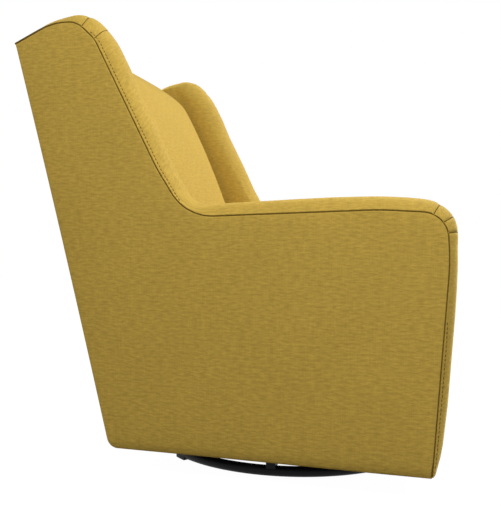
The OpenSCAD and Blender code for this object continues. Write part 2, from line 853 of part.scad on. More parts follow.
function spring_xs() =
    let (reach = side_in - spring_side_room - spring_w / 2)
    [for (k = [0:spring_count - 1]) reach * (2 * k / (spring_count - 1) - 1)];

module seat_springs() {
    color(zinc_colour)
        for (x = spring_xs())
            translate([x, 0, 0])
                seat_spring();
}

// Clip that folds round the first bar of a spring on its rail, open towards the spring
module spring_clip() {
    translate([-clip_w / 2, -clip_l / 2, spring_z])
        difference() {
            translate([0, 0, -clip_t - tight_fit])
                cube([clip_w, clip_l, spring_wire + 2 * clip_t + 2 * tight_fit]);
            translate([-over, clip_t, -tight_fit])
                cube([clip_w + 2 * over, clip_l, spring_wire + 2 * tight_fit]);
        }
}

module spring_clips() {
    color(zinc_colour)
        for (x = spring_xs())
            translate([x, 0, 0]) {
                translate([0, spring_front_y, 0])
                    spring_clip();
                translate([0, spring_rear_y, 0])
                    mirror([0, 1, 0])
                        spring_clip();
            }
}

module back_webbing() {
    low = lower_back_rail_z + back_rail_h / 8;
    high = top_rail_up + back_rail_h * 7 / 8;
    depth = panel_t + gap + rail_t;
    pitch = 2 * (side_in - strap_w) / strap_count;
    color("tan")
        for (k = [0:strap_count - 1])
            let (x = (k - (strap_count - 1) / 2) * pitch)
                slab(x - strap_w / 2, x + strap_w / 2,
                    [back_point(depth, low), back_point(depth, high),
                     back_point(depth + strap_t, high), back_point(depth + strap_t, low)]);
}

// Dust cover with its opening for the mechanism

dust_z = underside_z + ply_lift;
dust_front_y = front_point(border_setback + border_t + gap, 0)[0];
dust_rear_y = back_point(panel_t + rail_t, 0)[0];
dust_half_x = web_out + flange_w + dust_side_room;
dust_half_y = cheek_l / 2 + glide_travel + dust_end_room;

module dust_cover() {
    color("black")
        difference() {
            block([gap - ply_in, dust_front_y, dust_z], [ply_in - gap, dust_rear_y, dust_z + dust_t]);
            block([-dust_half_x, swivel_y - dust_half_y, dust_z - over],
                [dust_half_x, swivel_y + dust_half_y, dust_z + dust_t + over]);
        }
}

// Glide mechanism

// Positions of one side's two pivots along the depth
pivot_ys = [swivel_y - pivot_spread / 2, swivel_y + pivot_spread / 2];

module glide_rail() {
    half = rail_l / 2;
    tab = pivot_spread / 2 + 2 * link_r;
    shoulder_z = upper_pivot_z - link_len / 2;
    web = [[swivel_y - half, rail_top_z], [swivel_y - half, shoulder_z], [swivel_y - tab, underside_z],
        [swivel_y + tab, underside_z], [swivel_y + half, shoulder_z], [swivel_y + half, rail_top_z]];
    color(steel_colour)
        difference() {
            union() {
                slab(web_in, web_out, web);
                block([web_in, swivel_y - half, rail_top_z - web_t], [web_in + flange_w, swivel_y + half, rail_top_z]);
            }
            for (y = pivot_ys)
                translate([0, y, lower_pivot_z])
                    rod(web_in - over, web_out + over, pin_r + tight_fit);
            rail_screw_set(tight_fit);
        }
}

// Screws that hold one rail to the boards, two to a board
module rail_screw_set(clearance = 0) {
    for (y = board_ys)
        for (side = [-1, 1])
            translate([flange_screw_x, y + side * board_w / 4, 0]) {
                translate([0, 0, rail_top_z - web_t - (clearance > 0 ? over : 0)])
                    cylinder(h = rail_screw_l + (clearance > 0 ? over : 0), r = screw_r + clearance);
                if (clearance == 0)
                    translate([0, 0, rail_top_z - web_t - screw_head_h])
                        cylinder(h = screw_head_h, r = screw_head_r);
            }
}

module rail_screws() {
    color(zinc_colour)
        both_sides()
            rail_screw_set();
}

// Stepped pin along X: rings of low end, high end and radius
module stepped_pin(steps) {
    for (step = steps)
        rod(step[0], step[1], step[2]);
}

module lower_pivot_pins() {
    shank_in = link_in - bush_flange_t - pin_clear;
    shank_out = link_out + bush_flange_t + pin_clear;
    color(zinc_colour)
        both_sides()
            for (y = pivot_ys)
                translate([0, y, lower_pivot_z])
                    stepped_pin([[shank_in - pin_head_h, shank_in, pin_head_d / 2],
                        [shank_in, web_out, pin_r],
                        [shank_out, web_in, pin_head_d / 2],
                        [web_out, web_out + pin_head_h, pin_head_d / 2]]);
}

module upper_pivot_pins() {
    shank_in = link_in - bush_flange_t - pin_clear;
    shank_out = link_out + bush_flange_t + pin_clear;
    color(zinc_colour)
        both_sides()
            for (y = pivot_ys)
                translate([0, y, upper_pivot_z])
                    stepped_pin([[cheek_out - cradle_t - pin_head_h, cheek_out - cradle_t, pin_head_d / 2],
                        [cheek_out - cradle_t, shank_out, pin_r],
                        [cheek_out, shank_in, pin_head_d / 2],
                        [shank_out, shank_out + pin_head_h, pin_head_d / 2]]);
}

bumper_in = cheek_out - cradle_t;

module stop_bumpers() {
    color("dimgray")
        both_sides()
            for (side = [-1, 1])
                translate([0, swivel_y + side * bumper_y, (lower_pivot_z + upper_pivot_z) / 2 + link_r])
                    rod(bumper_in, web_in, bumper_r);
}

module swivel_cradle() {
    plate_z = cradle_z + cradle_t;
    color(steel_colour)
        difference() {
            block([-cheek_out, swivel_y - cheek_l / 2, cradle_z], [cheek_out, swivel_y + cheek_l / 2, cheek_top_z]);
            block([cradle_t - cheek_out, swivel_y - cheek_l / 2 - over, plate_z],
                [cheek_out - cradle_t, swivel_y + cheek_l / 2 + over, cheek_top_z + over]);
            for (y = pivot_ys)
                translate([0, y, upper_pivot_z])
                    rod(-cheek_out - over, cheek_out + over, pin_r + tight_fit);
            translate([0, swivel_y, cradle_z - over])
                cylinder(h = cradle_t + 2 * over, r = bush_sleeve_r + tight_fit);
        }
}

// Hanging links, each with two flanged bushes in halves

module link(y) {
    color(steel_colour)
        translate([0, y, 0])
            difference() {
                union() {
                    translate([0, 0, lower_pivot_z])
                        rod(link_in, link_out, link_r);
                    translate([0, 0, upper_pivot_z])
                        rod(link_in, link_out, link_r);
                    block([link_in, -link_r, lower_pivot_z], [link_out, link_r, upper_pivot_z]);
                }
                for (z = [lower_pivot_z, upper_pivot_z])
                    translate([0, 0, z])
                        rod(link_in - over, link_out + over, bush_out_r + tight_fit);
            }
}

module bushes(y) {
    middle = (link_in + link_out) / 2;
    color(nylon_colour)
        for (z = [lower_pivot_z, upper_pivot_z])
            translate([0, y, z]) {
                difference() {
                    union() {
                        rod(link_in - bush_flange_t, link_in, bush_flange_r);
                        rod(link_in, middle, bush_out_r);
                    }
                    rod(link_in - bush_flange_t - over, middle + over, bush_r);
                }
                difference() {
                    union() {
                        rod(link_out, link_out + bush_flange_t, bush_flange_r);
                        rod(middle, link_out, bush_out_r);
                    }
                    rod(middle - over, link_out + bush_flange_t + over, bush_r);
                }
            }
}

// Swivel bearing and centre bolt

bolt_r = bolt_d / 2;
bush_sleeve_r = bolt_r + run_fit + bush_wall;
bolt_head_r = bolt_d * 0.85;
bolt_head_h = bolt_d * 5 / 8;
nut_h = bolt_d * 7 / 8;
washer_t = 2;
washer_r = bolt_head_r + bush_wall;
nut_z = cradle_z + cradle_t + bush_flange_t + washer_t + pin_clear;

// Shapes that stand on the swivel axis, at a height
module on_axis(z) {
    translate([0, swivel_y, z])
        children();
}

module race(z, groove_z) {
    color(zinc_colour)
        on_axis(0)
            rotate_extrude()
                difference() {
                    translate([track_r - race_w / 2, z])
                        square([race_w, race_t]);
                    translate([track_r, groove_z])
                        circle(r = ball_d / 2 + ball_clear);
                }
}

module bearing_balls() {
    color(zinc_colour)
        on_axis(ball_z)
            for (k = [0:ball_count - 1])
                rotate([0, 0, 360 * k / ball_count])
                    translate([track_r, 0, 0])
                        sphere(d = ball_d);
}

module ball_cage() {
    color(nylon_colour)
        on_axis(ball_z - cage_t / 2)
            difference() {
                cylinder(h = cage_t, r = track_r + race_w / 2);
                translate([0, 0, -over])
                    cylinder(h = cage_t + 2 * over, r = track_r - race_w / 2);
                for (k = [0:ball_count - 1])
                    rotate([0, 0, 360 * k / ball_count])
                        translate([track_r, 0, -over])
                            cylinder(h = cage_t + 2 * over, r = ball_d / 2 + ball_clear);
            }
}

module swivel_bush() {
    color(nylon_colour)
        on_axis(cradle_z)
            difference() {
                union() {
                    cylinder(h = cradle_t, r = bush_sleeve_r);
                    translate([0, 0, cradle_t])
                        cylinder(h = bush_flange_t, r = washer_r);
                }
                translate([0, 0, -over])
                    cylinder(h = cradle_t + bush_flange_t + 2 * over, r = bolt_r + run_fit);
            }
}

module swivel_bolt() {
    color(zinc_colour)
        on_axis(cross_z - bolt_head_h)
            union() {
                cylinder(h = bolt_head_h, r = bolt_head_r, $fn = 6);
                cylinder(h = nut_z + nut_h + washer_t - cross_z + bolt_head_h, r = bolt_r);
            }
}

module swivel_washer() {
    color(zinc_colour)
        on_axis(nut_z - washer_t)
            difference() {
                cylinder(h = washer_t, r = washer_r);
                translate([0, 0, -over])
                    cylinder(h = washer_t + 2 * over, r = bolt_r + tight_fit);
            }
}

module swivel_nut() {
    color(zinc_colour)
        on_axis(nut_z)
            difference() {
                cylinder(h = nut_h, r = bolt_head_r, $fn = 6);
                translate([0, 0, -over])
                    cylinder(h = nut_h + 2 * over, r = bolt_r + tight_fit);
            }
}

// Floor base, turned a little under the chair

tube_r = ring_tube_d / 2;

module turned_base() {
    on_axis(0)
        rotate([0, 0, base_turn])
            children();
}

module ring_solid(r) {
    rotate_extrude()
        translate([ring_r, ring_z])
            circle(r = r);
}

module base_ring() {
    color(steel_colour)
        turned_base()
            difference() {
                ring_solid(tube_r);
                ring_solid(tube_r - ring_wall);
            }
}

// Both tubes of the cross, as solid bars of a width and a length
module cross_bars(w, l, z) {
    for (turn = [0, 90])
        rotate([0, 0, turn])
            block([-l / 2, -w / 2, z], [l / 2, w / 2, z + w]);
}

cross_l = 2 * ring_r + ring_tube_d;

module base_cross() {
    color(steel_colour)
        turned_base()
            difference() {
                cross_bars(cross_w, cross_l, cross_z);
                cross_bars(cross_w - 2 * cross_wall, cross_l + 2 * over, cross_z + cross_wall);
                ring_solid(tube_r + tight_fit);
                translate([0, 0, cross_z - over])
                    cylinder(h = cross_w + 2 * over, r = bolt_r + tight_fit);
            }
}

module cross_tube_plugs() {
    plug_w = cross_w - 2 * cross_wall - 2 * tight_fit;
    plug_l = cross_w / 2;
    cap_l = cross_wall;
    color(steel_colour)
        turned_base()
            for (k = [0:3])
                rotate([0, 0, 90 * k]) {
                    difference() {
                        block([cross_l / 2 - plug_l, -plug_w / 2, cross_z + cross_wall + tight_fit],
                            [cross_l / 2, plug_w / 2, cross_z + cross_w - cross_wall - tight_fit]);
                        ring_solid(tube_r + gap);
                    }
                    block([cross_l / 2, -cross_w / 2, cross_z], [cross_l / 2 + cap_l, cross_w / 2, cross_z + cross_w]);
                }
}

module hub_plate() {
    color(steel_colour)
        on_axis(hub_z)
            difference() {
                cylinder(h = hub_t, r = hub_r);
                translate([0, 0, -over])
                    cylinder(h = hub_t + 2 * over, r = bolt_r + tight_fit);
            }
}

module floor_glides() {
    half_turn = asin(glide_l / 2 / ring_r);
    glide_top = ring_z - tube_r / 2;
    color(steel_colour)
        turned_base()
            for (k = [0:glide_count - 1])
                rotate([0, 0, (k + half_share) * 360 / glide_count - half_turn])
                    difference() {
                        rotate_extrude(angle = 2 * half_turn)
                            translate([ring_r - glide_w / 2, 0])
                                square([glide_w, glide_top]);
                        ring_solid(tube_r + tight_fit);
                    }
}

side_panel();  // side_panel_left
mirrored() side_panel();  // side_panel_right
side_frame();  // side_frame_left
mirrored() side_frame();  // side_frame_right
inner_pad();  // inner_pad_left
mirrored() inner_pad();  // inner_pad_right
edge_band();  // edge_band_left
mirrored() edge_band();  // edge_band_right
inside_back();
outside_back();
seat_cushion();
front_border();
seat_deck();
front_posts();
front_board();
rear_seat_rail();
drilled_back_rail(top_rail_up);  // top_back_rail
drilled_back_rail(lower_back_rail_z);  // lower_back_rail
drilled_back_rail(rear_foot_up);  // rear_foot_rail
mechanism_boards();
board_cleats();
seat_springs();
spring_clips();
back_webbing();
frame_screws();
dust_cover();
glide_rail();  // glide_rail_left
mirrored() glide_rail();  // glide_rail_right
rail_screws();
lower_pivot_pins();
stop_bumpers();
swivel_cradle();
upper_pivot_pins();
race(race_z + race_t + race_gap, ball_z);  // bearing_upper_race
swivel_bush();
link(pivot_ys[0]);  // link_front_left
mirrored() link(pivot_ys[0]);  // link_front_right
link(pivot_ys[1]);  // link_rear_left
mirrored() link(pivot_ys[1]);  // link_rear_right
bushes(pivot_ys[0]);  // bushes_front_left
mirrored() bushes(pivot_ys[0]);  // bushes_front_right
bushes(pivot_ys[1]);  // bushes_rear_left
mirrored() bushes(pivot_ys[1]);  // bushes_rear_right
base_ring();
base_cross();
cross_tube_plugs();
hub_plate();
race(race_z, ball_z);  // bearing_lower_race
bearing_balls();
ball_cage();
swivel_bolt();
swivel_washer();
swivel_nut();
floor_glides();
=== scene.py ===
"""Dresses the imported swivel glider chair: upholstery, sewing, finishes, studio and camera."""

import json
import math

import bmesh
import bpy
import numpy as np
from bpy.props import FloatProperty, FloatVectorProperty, IntProperty, PointerProperty
from mathutils import Matrix, Vector
from mathutils.bvhtree import BVHTree


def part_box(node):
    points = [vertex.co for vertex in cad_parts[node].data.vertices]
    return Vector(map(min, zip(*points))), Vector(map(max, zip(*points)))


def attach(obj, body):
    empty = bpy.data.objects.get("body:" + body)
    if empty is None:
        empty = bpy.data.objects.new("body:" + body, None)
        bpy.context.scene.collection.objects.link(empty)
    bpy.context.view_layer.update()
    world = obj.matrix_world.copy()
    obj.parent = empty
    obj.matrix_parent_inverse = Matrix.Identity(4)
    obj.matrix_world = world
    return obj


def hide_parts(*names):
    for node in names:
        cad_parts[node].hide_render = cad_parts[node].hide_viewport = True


bl_info = {
    "name": "Swivel glider chair",
    "version": (1, 0, 0),
    "blender": (4, 5, 0),
    "location": "View3D > Sidebar > Glider",
    "description": "Upholstery, sewing, finishes and studio for a swivel glider chair",
    "category": "Object",
}

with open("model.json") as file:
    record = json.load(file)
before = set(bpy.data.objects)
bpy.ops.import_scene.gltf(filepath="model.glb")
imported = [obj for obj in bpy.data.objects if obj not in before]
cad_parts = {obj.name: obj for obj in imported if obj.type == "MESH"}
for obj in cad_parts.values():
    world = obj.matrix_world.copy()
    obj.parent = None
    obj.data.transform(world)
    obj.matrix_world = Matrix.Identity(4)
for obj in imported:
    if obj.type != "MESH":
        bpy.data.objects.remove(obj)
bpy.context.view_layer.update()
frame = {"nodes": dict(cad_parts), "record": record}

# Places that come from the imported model, in metres
CHAIR = "chair"
SIDE_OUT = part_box("side_panel_left")[1].x
PANEL_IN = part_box("side_panel_left")[0].x
FRAME_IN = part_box("side_frame_left")[0].x
SIDE_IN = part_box("edge_band_left")[0].x
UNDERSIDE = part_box("side_panel_left")[0].z
PAD_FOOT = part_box("inner_pad_left")[0].z
SEAM_GAP = 0.0003
SIDE_NAMES = {1: "left", -1: "right"}
# Limits that nothing reaches, how far from a cut a point snaps to it, and how many points are measured at once
OPEN = (-np.inf, np.inf)
CUT_SNAP = 0.0002
AT_ONCE = 4000

# Corners of a side's outline from the front foot over the arm and the wing: y, z, radius
CORNERS = [
    (-0.4322, 0.050, 0.003),
    (-0.4602, 0.455, 0.500),
    (-0.4542, 0.545, 0.050),
    (-0.3292, 0.552, 0.500),
    (0.0660, 0.539, 0.107),
    (0.1340, 0.643, 0.400),
    (0.2800, 0.9215, 0.060),
    (0.3240, 0.963, 0.057),
    (0.3850, 0.963, 0.135),
    (0.4750, 0.924, 0.002),
    (0.2365, 0.050, 0.022),
]
SMALLEST_RADIUS = 0.0002
# The corner at which the band ends, and how far the rear edge draws in below it
BAND_LAST = 9
REAR_DRAW = 0.0028
# Crown of the band by its length along the seam from the front foot
BAND_CROWNS = [
    (0.000, 0.0040), (0.030, 0.0095), (0.055, 0.0120), (0.105, 0.0138), (0.130, 0.0148), (0.304, 0.0148),
    (0.354, 0.0139), (0.380, 0.0128), (0.430, 0.0126), (0.455, 0.0150), (0.480, 0.0205), (0.504, 0.0228),
    (0.529, 0.0255), (0.554, 0.0268), (0.604, 0.0271), (0.654, 0.0283), (0.704, 0.0292), (0.779, 0.0287),
    (0.829, 0.0279), (0.950, 0.0262), (1.000, 0.0165), (1.050, 0.0128), (1.200, 0.0192), (1.300, 0.0200),
    (1.355, 0.0245), (1.405, 0.0247), (1.430, 0.0232), (1.455, 0.0262), (1.480, 0.0266), (1.504, 0.0252),
    (1.529, 0.0200), (1.555, 0.0172), (1.600, 0.0110), (1.644, 0.0080),
]
# Height of the band at its two edges, and the power by which its crown rounds over
BAND_EDGE, BAND_ROUNDNESS = 0.0025, 2.2
# Lengths along the seam at which darts take the band in: three at the arm's front, two at the wing
ARM_DARTS, WING_DARTS = (0.4591, 0.4808, 0.5043), (1.4300, 1.4716)
DARTS = (*ARM_DARTS, *WING_DARTS)
# How far a wing dart moves along the seam for each metre that it runs across the band
WING_DART_SLANT = 0.31
DART_LENGTH = 0.062
# Radii of the seam cord beside the band, which is thicker up the wing to widen its painted shade, and of a dart's and
# the back's cords. These cords carry the dark painted seam shade
SIDE_CORD, WING_CORD_MORE, DART_CORD, BACK_CORD = 0.0021, 0.0008, 0.0009, 0.0014
# Spacing of the band's stations, of those beside an arm dart, and the lengths that a dart clears
STATION = 0.006
BESIDE_ARM_DART = (0.0009, 0.0018, 0.003, 0.0045, 0.006, 0.008)
BESIDE_WING_DART = np.arange(-0.0080, 0.0295, 0.0011)
DART_CLEARS, WING_DART_CLEARS = 0.0095, 0.0305
# Where topstitching leaves the seam and comes back to it: start, end and ramps at both. The offset from which
# its stitches are sewn and the offset from which they draw the cover in
TOPSTITCHED = ((-0.001, 0.344, 0.001, 0.100), (0.985, 1.472, 0.075, 0.042))
SEWN_FROM, DRAWN_FROM = 0.0028, 0.003

# Spacing of the cuts across a side's faces, and the rows of cuts and the depth where a panel's foot rolls under
FACE_GRID = 0.022
FOOT_ROWS = (0.0012, 0.0025, 0.0042, 0.0065, 0.0095, 0.013, 0.017)
FOOT_ROLL = 0.0072
# Distances from the outline at which the inner face follows it
FACE_STEPS = (0.003, 0.007, 0.012, 0.018, 0.027, 0.038)
# Two places of y and z on the inside back's front face, between the sides
BACK_FACE = ((0.1248, 0.432), (0.326, 0.886))

# Foot and top of the back's outer face between its rounded edges, as y and z, and that face's directions
BACK_FOOT, BACK_TOP = (0.2375, 0.0662), (0.4736, 0.9233)
BACK_LEAN = math.atan((BACK_TOP[0] - BACK_FOOT[0]) / (BACK_TOP[1] - BACK_FOOT[1]))
BACK_OUT = np.array([0, math.cos(BACK_LEAN), -math.sin(BACK_LEAN)])
BACK_UP = np.array([0, math.sin(BACK_LEAN), math.cos(BACK_LEAN)])
BACK_HEAD = np.array([0, *BACK_TOP])


class GliderFabric(bpy.types.PropertyGroup):
    colour: FloatVectorProperty(
        name="Fabric colour", description="Middle tone of the woven cover", subtype="COLOR",
        default=(0.500, 0.331, 0.058), min=0, max=1)
    light_yarn: FloatProperty(
        name="Light yarn", description="How much lighter the lightest yarns are", default=0.22)
    dark_yarn: FloatProperty(
        name="Dark yarn", description="How much darker the darkest yarns are", default=0.24)
    thread_colour: FloatVectorProperty(
        name="Thread colour", description="Topstitching thread", subtype="COLOR",
        default=(0.165, 0.100, 0.020), min=0, max=1)
    yarn_pitch: FloatProperty(
        name="Yarn pitch", description="Distance between two yarns of the weave", default=0.0014, unit="LENGTH")
    sheen: FloatProperty(
        name="Sheen", description="Glow of the cover's nap at a flat angle", default=0.60)
    slub_length: FloatProperty(
        name="Slub length", description="Length of a thick place in a yarn", default=0.016, unit="LENGTH")


class GliderSewing(bpy.types.PropertyGroup):
    seam_radius: FloatProperty(
        name="Seam edge radius", description="Rounding of the cover where it dips into a seam",
        default=0.003, unit="LENGTH")
    topstitch_offset: FloatProperty(
        name="Topstitch offset", description="Distance of the topstitching from its seam",
        default=0.0068, unit="LENGTH")
    stitch_length: FloatProperty(
        name="Stitch length", description="Length of one stitch", default=0.0064, unit="LENGTH")
    stitch_pitch: FloatProperty(
        name="Stitch pitch", description="Start of one stitch to the start of the next",
        default=0.0085, unit="LENGTH")
    thread_radius: FloatProperty(
        name="Thread radius", description="Radius of the topstitching thread", default=0.0009, unit="LENGTH")
    dart_depth: FloatProperty(
        name="Dart depth", description="Depth of a dart that takes in the band at a corner",
        default=0.0022, unit="LENGTH")


class GliderPadding(bpy.types.PropertyGroup):
    panel_fullness: FloatProperty(
        name="Panel fullness", description="Swell of the padded outer panels", default=0.002, unit="LENGTH")
    inner_fullness: FloatProperty(
        name="Inner fullness", description="Swell of the padded inner faces", default=0.003, unit="LENGTH")
    edge_roll: FloatProperty(
        name="Edge roll", description="How far the inner faces roll out under the band",
        default=0.009, unit="LENGTH")
    voxel: FloatProperty(
        name="Cloth mesh size", description="Edge length of the simulated cloth", default=0.008, unit="LENGTH")
    pressure: FloatProperty(
        name="Cushion pressure", description="Pressure that fills the cushions", default=4.0)
    frames: IntProperty(name="Cloth frames", description="Frames of cloth simulation", default=10)


class GliderStage(bpy.types.PropertyGroup):
    key_power: FloatProperty(
        name="Key lamp", description="Power of the lamp beyond the chair, in front and above", default=74.0)
    fill_power: FloatProperty(
        name="Fill lamp", description="Power of the lamp on the camera's side", default=28.5)
    rear_power: FloatProperty(
        name="Rear lamp", description="Power of the lamp behind the chair", default=34.0)
    room_light: FloatProperty(
        name="Room light", description="Even light from all round", default=0.450)


def chair_settings(name):
    return getattr(bpy.context.scene, name)


def smooth(t):
    """Soft step from 0 to 1, for a number or an array."""
    t = np.clip(t, 0, 1)
    return t * t * (3 - 2 * t)


def blend(a, b, t):
    return a + (b - a) * t


def risen(depth, width):
    """Share of its full height that a padded face has at a depth from its edge."""
    return 1 - np.exp(-depth / width)


def hump(away, width):
    """1 on a line, and next to nothing from two widths away."""
    return np.exp(-(away / width) ** 2)


def uneven(a, b, a_waves, b_waves):
    """Slow waves over a surface, each given as radians for a metre and where it starts."""
    return np.sin(a * a_waves[0] + a_waves[1]) * np.sin(b * b_waves[0] + b_waves[1])


# ---------------------------------------------------------------- outlines


def corner_arc(index, inset, steps):
    """Arc that rounds one corner of the side's outline, drawn in by inset, and its turn in degrees."""
    n = len(CORNERS)
    a, b, c = (np.array(CORNERS[(index + k) % n][:2]) for k in (-1, 0, 1))
    to_a, to_c = np.linalg.norm(a - b), np.linalg.norm(c - b)
    u, v = (a - b) / to_a, (c - b) / to_c
    half = math.acos(float(u @ v)) / 2
    r = min(CORNERS[index][2], min(to_a, to_c) / 2 * math.tan(half))
    bisector = (u + v) / np.linalg.norm(u + v)
    middle = b + bisector * r / math.sin(half)
    first = b + u * r / math.tan(half) - middle
    last = b + v * r / math.tan(half) - middle
    start = math.atan2(first[1], first[0])
    sweep = (math.atan2(last[1], last[0]) - start + math.pi) % (2 * math.pi) - math.pi
    radius = r - inset if sweep < 0 else r + inset
    if radius < SMALLEST_RADIUS:
        middle = b + bisector * (inset + SMALLEST_RADIUS) / math.sin(half)
        radius = SMALLEST_RADIUS
    turns = [start + sweep * i / steps for i in range(steps + 1)]
    return [middle + radius * np.array([math.cos(t), math.sin(t)]) for t in turns], math.degrees(abs(sweep))


def rounded(index, inset, degrees):
    """Points of one rounded corner, at least one for each of these degrees of its turn."""
    sweep = corner_arc(index, 0.0, 2)[1]
    return corner_arc(index, inset, max(4, math.ceil(sweep / degrees)))[0]


def side_outline(inset=0.0):
    """Closed outline of a side as points of y and z, from the front foot over the arm and wing.
    Its rear edge draws in a little between its corners."""
    arcs = [rounded(k, inset, 5) for k in range(len(CORNERS))]
    points = []
    for k, arc in enumerate(arcs):
        after = (k + 1) % len(arcs)
        count = max(1, round(math.dist(CORNERS[k][:2], CORNERS[after][:2]) / 0.03))
        draw = np.array([-REAR_DRAW, 0]) * (k == BAND_LAST)
        points += arc
        points += [blend(arc[-1], arcs[after][0], i / count) + draw * math.sin(math.pi * i / count)
                   for i in range(1, count)]
    return points


def band_path():
    """Stations along the band's seam: place, outward normal, crown and length so far."""
    places = [np.array(CORNERS[0][:2])]
    for k in range(1, BAND_LAST):
        places += rounded(k, 0.0, 2)
    places = np.array([*places, CORNERS[BAND_LAST][:2]])
    length = np.concatenate([[0], np.cumsum(np.linalg.norm(np.diff(places, axis=0), axis=1))])
    pad_foot = np.interp(PAD_FOOT, places[:4, 1], length[:4])
    s = list(np.linspace(0, length[-1], round(length[-1] / STATION)))
    for dart in ARM_DARTS:
        s = [at for at in s if abs(at - dart) > DART_CLEARS]
        s += [dart + side * d for d in BESIDE_ARM_DART for side in (-1, 1)] + [dart]
    for dart in WING_DARTS:
        s = [at for at in s if not dart - DART_CLEARS < at < dart + WING_DART_CLEARS]
        s += list(dart + BESIDE_WING_DART)
    s = np.array(sorted([at for at in s if abs(at - pad_foot) > 0.002] + [pad_foot]))
    path, ahead, behind = (np.stack([np.interp(s + d, length, places[:, i]) for i in (0, 1)], axis=1)
                           for d in (0, 0.002, -0.002))
    along = ahead - behind
    along /= np.linalg.norm(along, axis=1)[:, None]
    normal = np.stack([-along[:, 1], along[:, 0]], axis=1)
    return path, normal, np.interp(s, *np.array(BAND_CROWNS).T), s


def topstitch_offset(s):
    """Distance of the topstitching from the seam at a length along the band, or 0."""
    offset = chair_settings("glider_sewing").topstitch_offset
    for start, end, ramp_in, ramp_out in TOPSTITCHED:
        if start <= s <= end:
            return offset * min(smooth((s - start) / ramp_in), smooth((end - s) / ramp_out))
    return 0.0


def behind_back(co):
    """How far each point stands behind the plane of the back's outer face."""
    return (co - BACK_HEAD) @ BACK_OUT


# ---------------------------------------------------------------- meshes


def linked(name, data):
    """New object at the origin, in the scene."""
    made = bpy.data.objects.new(name, data)
    bpy.context.scene.collection.objects.link(made)
    return made


def only(piece):
    """Selects one object and makes it active."""
    bpy.ops.object.select_all(action="DESELECT")
    piece.select_set(True)
    bpy.context.view_layer.objects.active = piece


def in_edit_mode(piece, *steps):
    """Runs edit-mode operators, each given with its settings, on the whole of one mesh."""
    only(piece)
    bpy.ops.object.mode_set(mode="EDIT")
    bpy.ops.mesh.select_all(action="SELECT")
    for operator, settings in steps:
        operator(**settings)
    bpy.ops.object.mode_set(mode="OBJECT")


def face_outwards(piece):
    in_edit_mode(piece, (bpy.ops.mesh.normals_make_consistent, {"inside": False}))


def shade(piece, degrees):
    only(piece)
    bpy.ops.object.shade_smooth_by_angle(angle=math.radians(degrees))


def modified(piece, kind, **settings):
    """Adds a modifier with these settings to a piece and applies it."""
    only(piece)
    modifier = piece.modifiers.new(kind.lower(), kind)
    for name, value in settings.items():
        setattr(modifier, name, value)
    bpy.ops.object.modifier_apply(modifier=modifier.name)


def new_piece(name, vertices, faces, uv=None):
    """Mesh object at the origin that rides on the chair, with weave coordinates where they are given."""
    mesh = bpy.data.meshes.new(name)
    mesh.from_pydata([tuple(v) for v in vertices], [], faces)
    mesh.validate()
    piece = linked(name, mesh)
    if uv is not None:
        weave_uv(piece, uv)
    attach(piece, CHAIR)
    return piece


def copied_solid(node, name):
    """Copy of a CAD node's mesh with its doubles merged, as a new piece that rides on the chair."""
    mesh = frame["nodes"][node].data.copy()
    mesh.name = name
    piece = linked(name, mesh)
    in_edit_mode(piece, (bpy.ops.mesh.remove_doubles, {"threshold": 0.00002}))
    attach(piece, CHAIR)
    return piece


def ringed(rings, capped=False):
    """Vertices and faces over a row of closed rings with as many points each, with or without end caps."""
    n, count = len(rings[0]), len(rings) * len(rings[0])
    faces = [(k * n + i, k * n + (i + 1) % n, (k + 1) * n + (i + 1) % n, (k + 1) * n + i)
             for k in range(len(rings) - 1) for i in range(n)]
    if capped:
        faces += [tuple(range(n)), tuple(reversed(range(count - n, count)))]
    return [p for ring in rings for p in ring], faces


def values_of(items, name, width=1, kind=float):
    """One value or vector of each vertex, face or face corner, as an array."""
    values = np.zeros(len(items) * width, kind)
    items.foreach_get(name, values)
    return values.reshape(-1, width) if width > 1 else values


def coordinates(piece):
    return values_of(piece.data.vertices, "co", 3)


def set_coordinates(piece, co):
    piece.data.vertices.foreach_set("co", np.asarray(co, float).ravel())
    piece.data.update()


def within(piece, *limits):
    """Holds a swollen cover between a lowest and a highest x, y and z."""
    low, high = zip(*limits)
    set_coordinates(piece, np.clip(coordinates(piece), low, high))


def corner_vertices(piece):
    return values_of(piece.data.loops, "vertex_index", kind=int)


def lay_weave(piece, corners):
    """Sets weave coordinates in metres, given for each face corner."""
    mesh = piece.data
    layer = mesh.uv_layers.get("weave") or mesh.uv_layers.new(name="weave")
    layer.data.foreach_set("uv", np.asarray(corners, float).ravel())


def weave_uv(piece, flat):
    """Sets weave coordinates in metres, given for each vertex."""
    lay_weave(piece, np.asarray(flat, float)[corner_vertices(piece)])


def panel_uv(piece, u_axis=(0, 1, 0), v_axis=(0, 0, 1)):
    """Weave coordinates in metres from two directions, along the chair's depth and height by default."""
    weave_uv(piece, coordinates(piece) @ np.array([u_axis, v_axis], float).T)


def boxed_uv(piece):
    """Weave coordinates in metres, laid on from the side that each face looks to."""
    co, faces = coordinates(piece)[corner_vertices(piece)], piece.data.polygons
    side = np.abs(values_of(faces, "normal", 3)).argmax(axis=1)
    side = np.repeat(side, values_of(faces, "loop_total", kind=int))
    u = np.where(side == 0, co[:, 1], co[:, 0])
    v = np.where(side == 2, co[:, 1], co[:, 2])
    lay_weave(piece, np.stack([u, v], axis=1))


def bisected(bm, geom, axis, place):
    """Cuts geometry across at one place on an axis, and returns what it became."""
    co, no = Vector(), Vector()
    co[axis], no[axis] = place, 1
    return bmesh.ops.bisect_plane(bm, geom=geom, plane_co=co, plane_no=no, dist=CUT_SNAP)["geom"]


def cut_up(bm, faces, axis, places):
    """Cuts flat faces across at each of these places, and returns all their parts."""
    for place in places:
        geom = list({v for f in faces for v in f.verts}) + list({e for f in faces for e in f.edges}) + list(faces)
        faces = [g for g in bisected(bm, geom, axis, place) if isinstance(g, bmesh.types.BMFace)]
    return faces


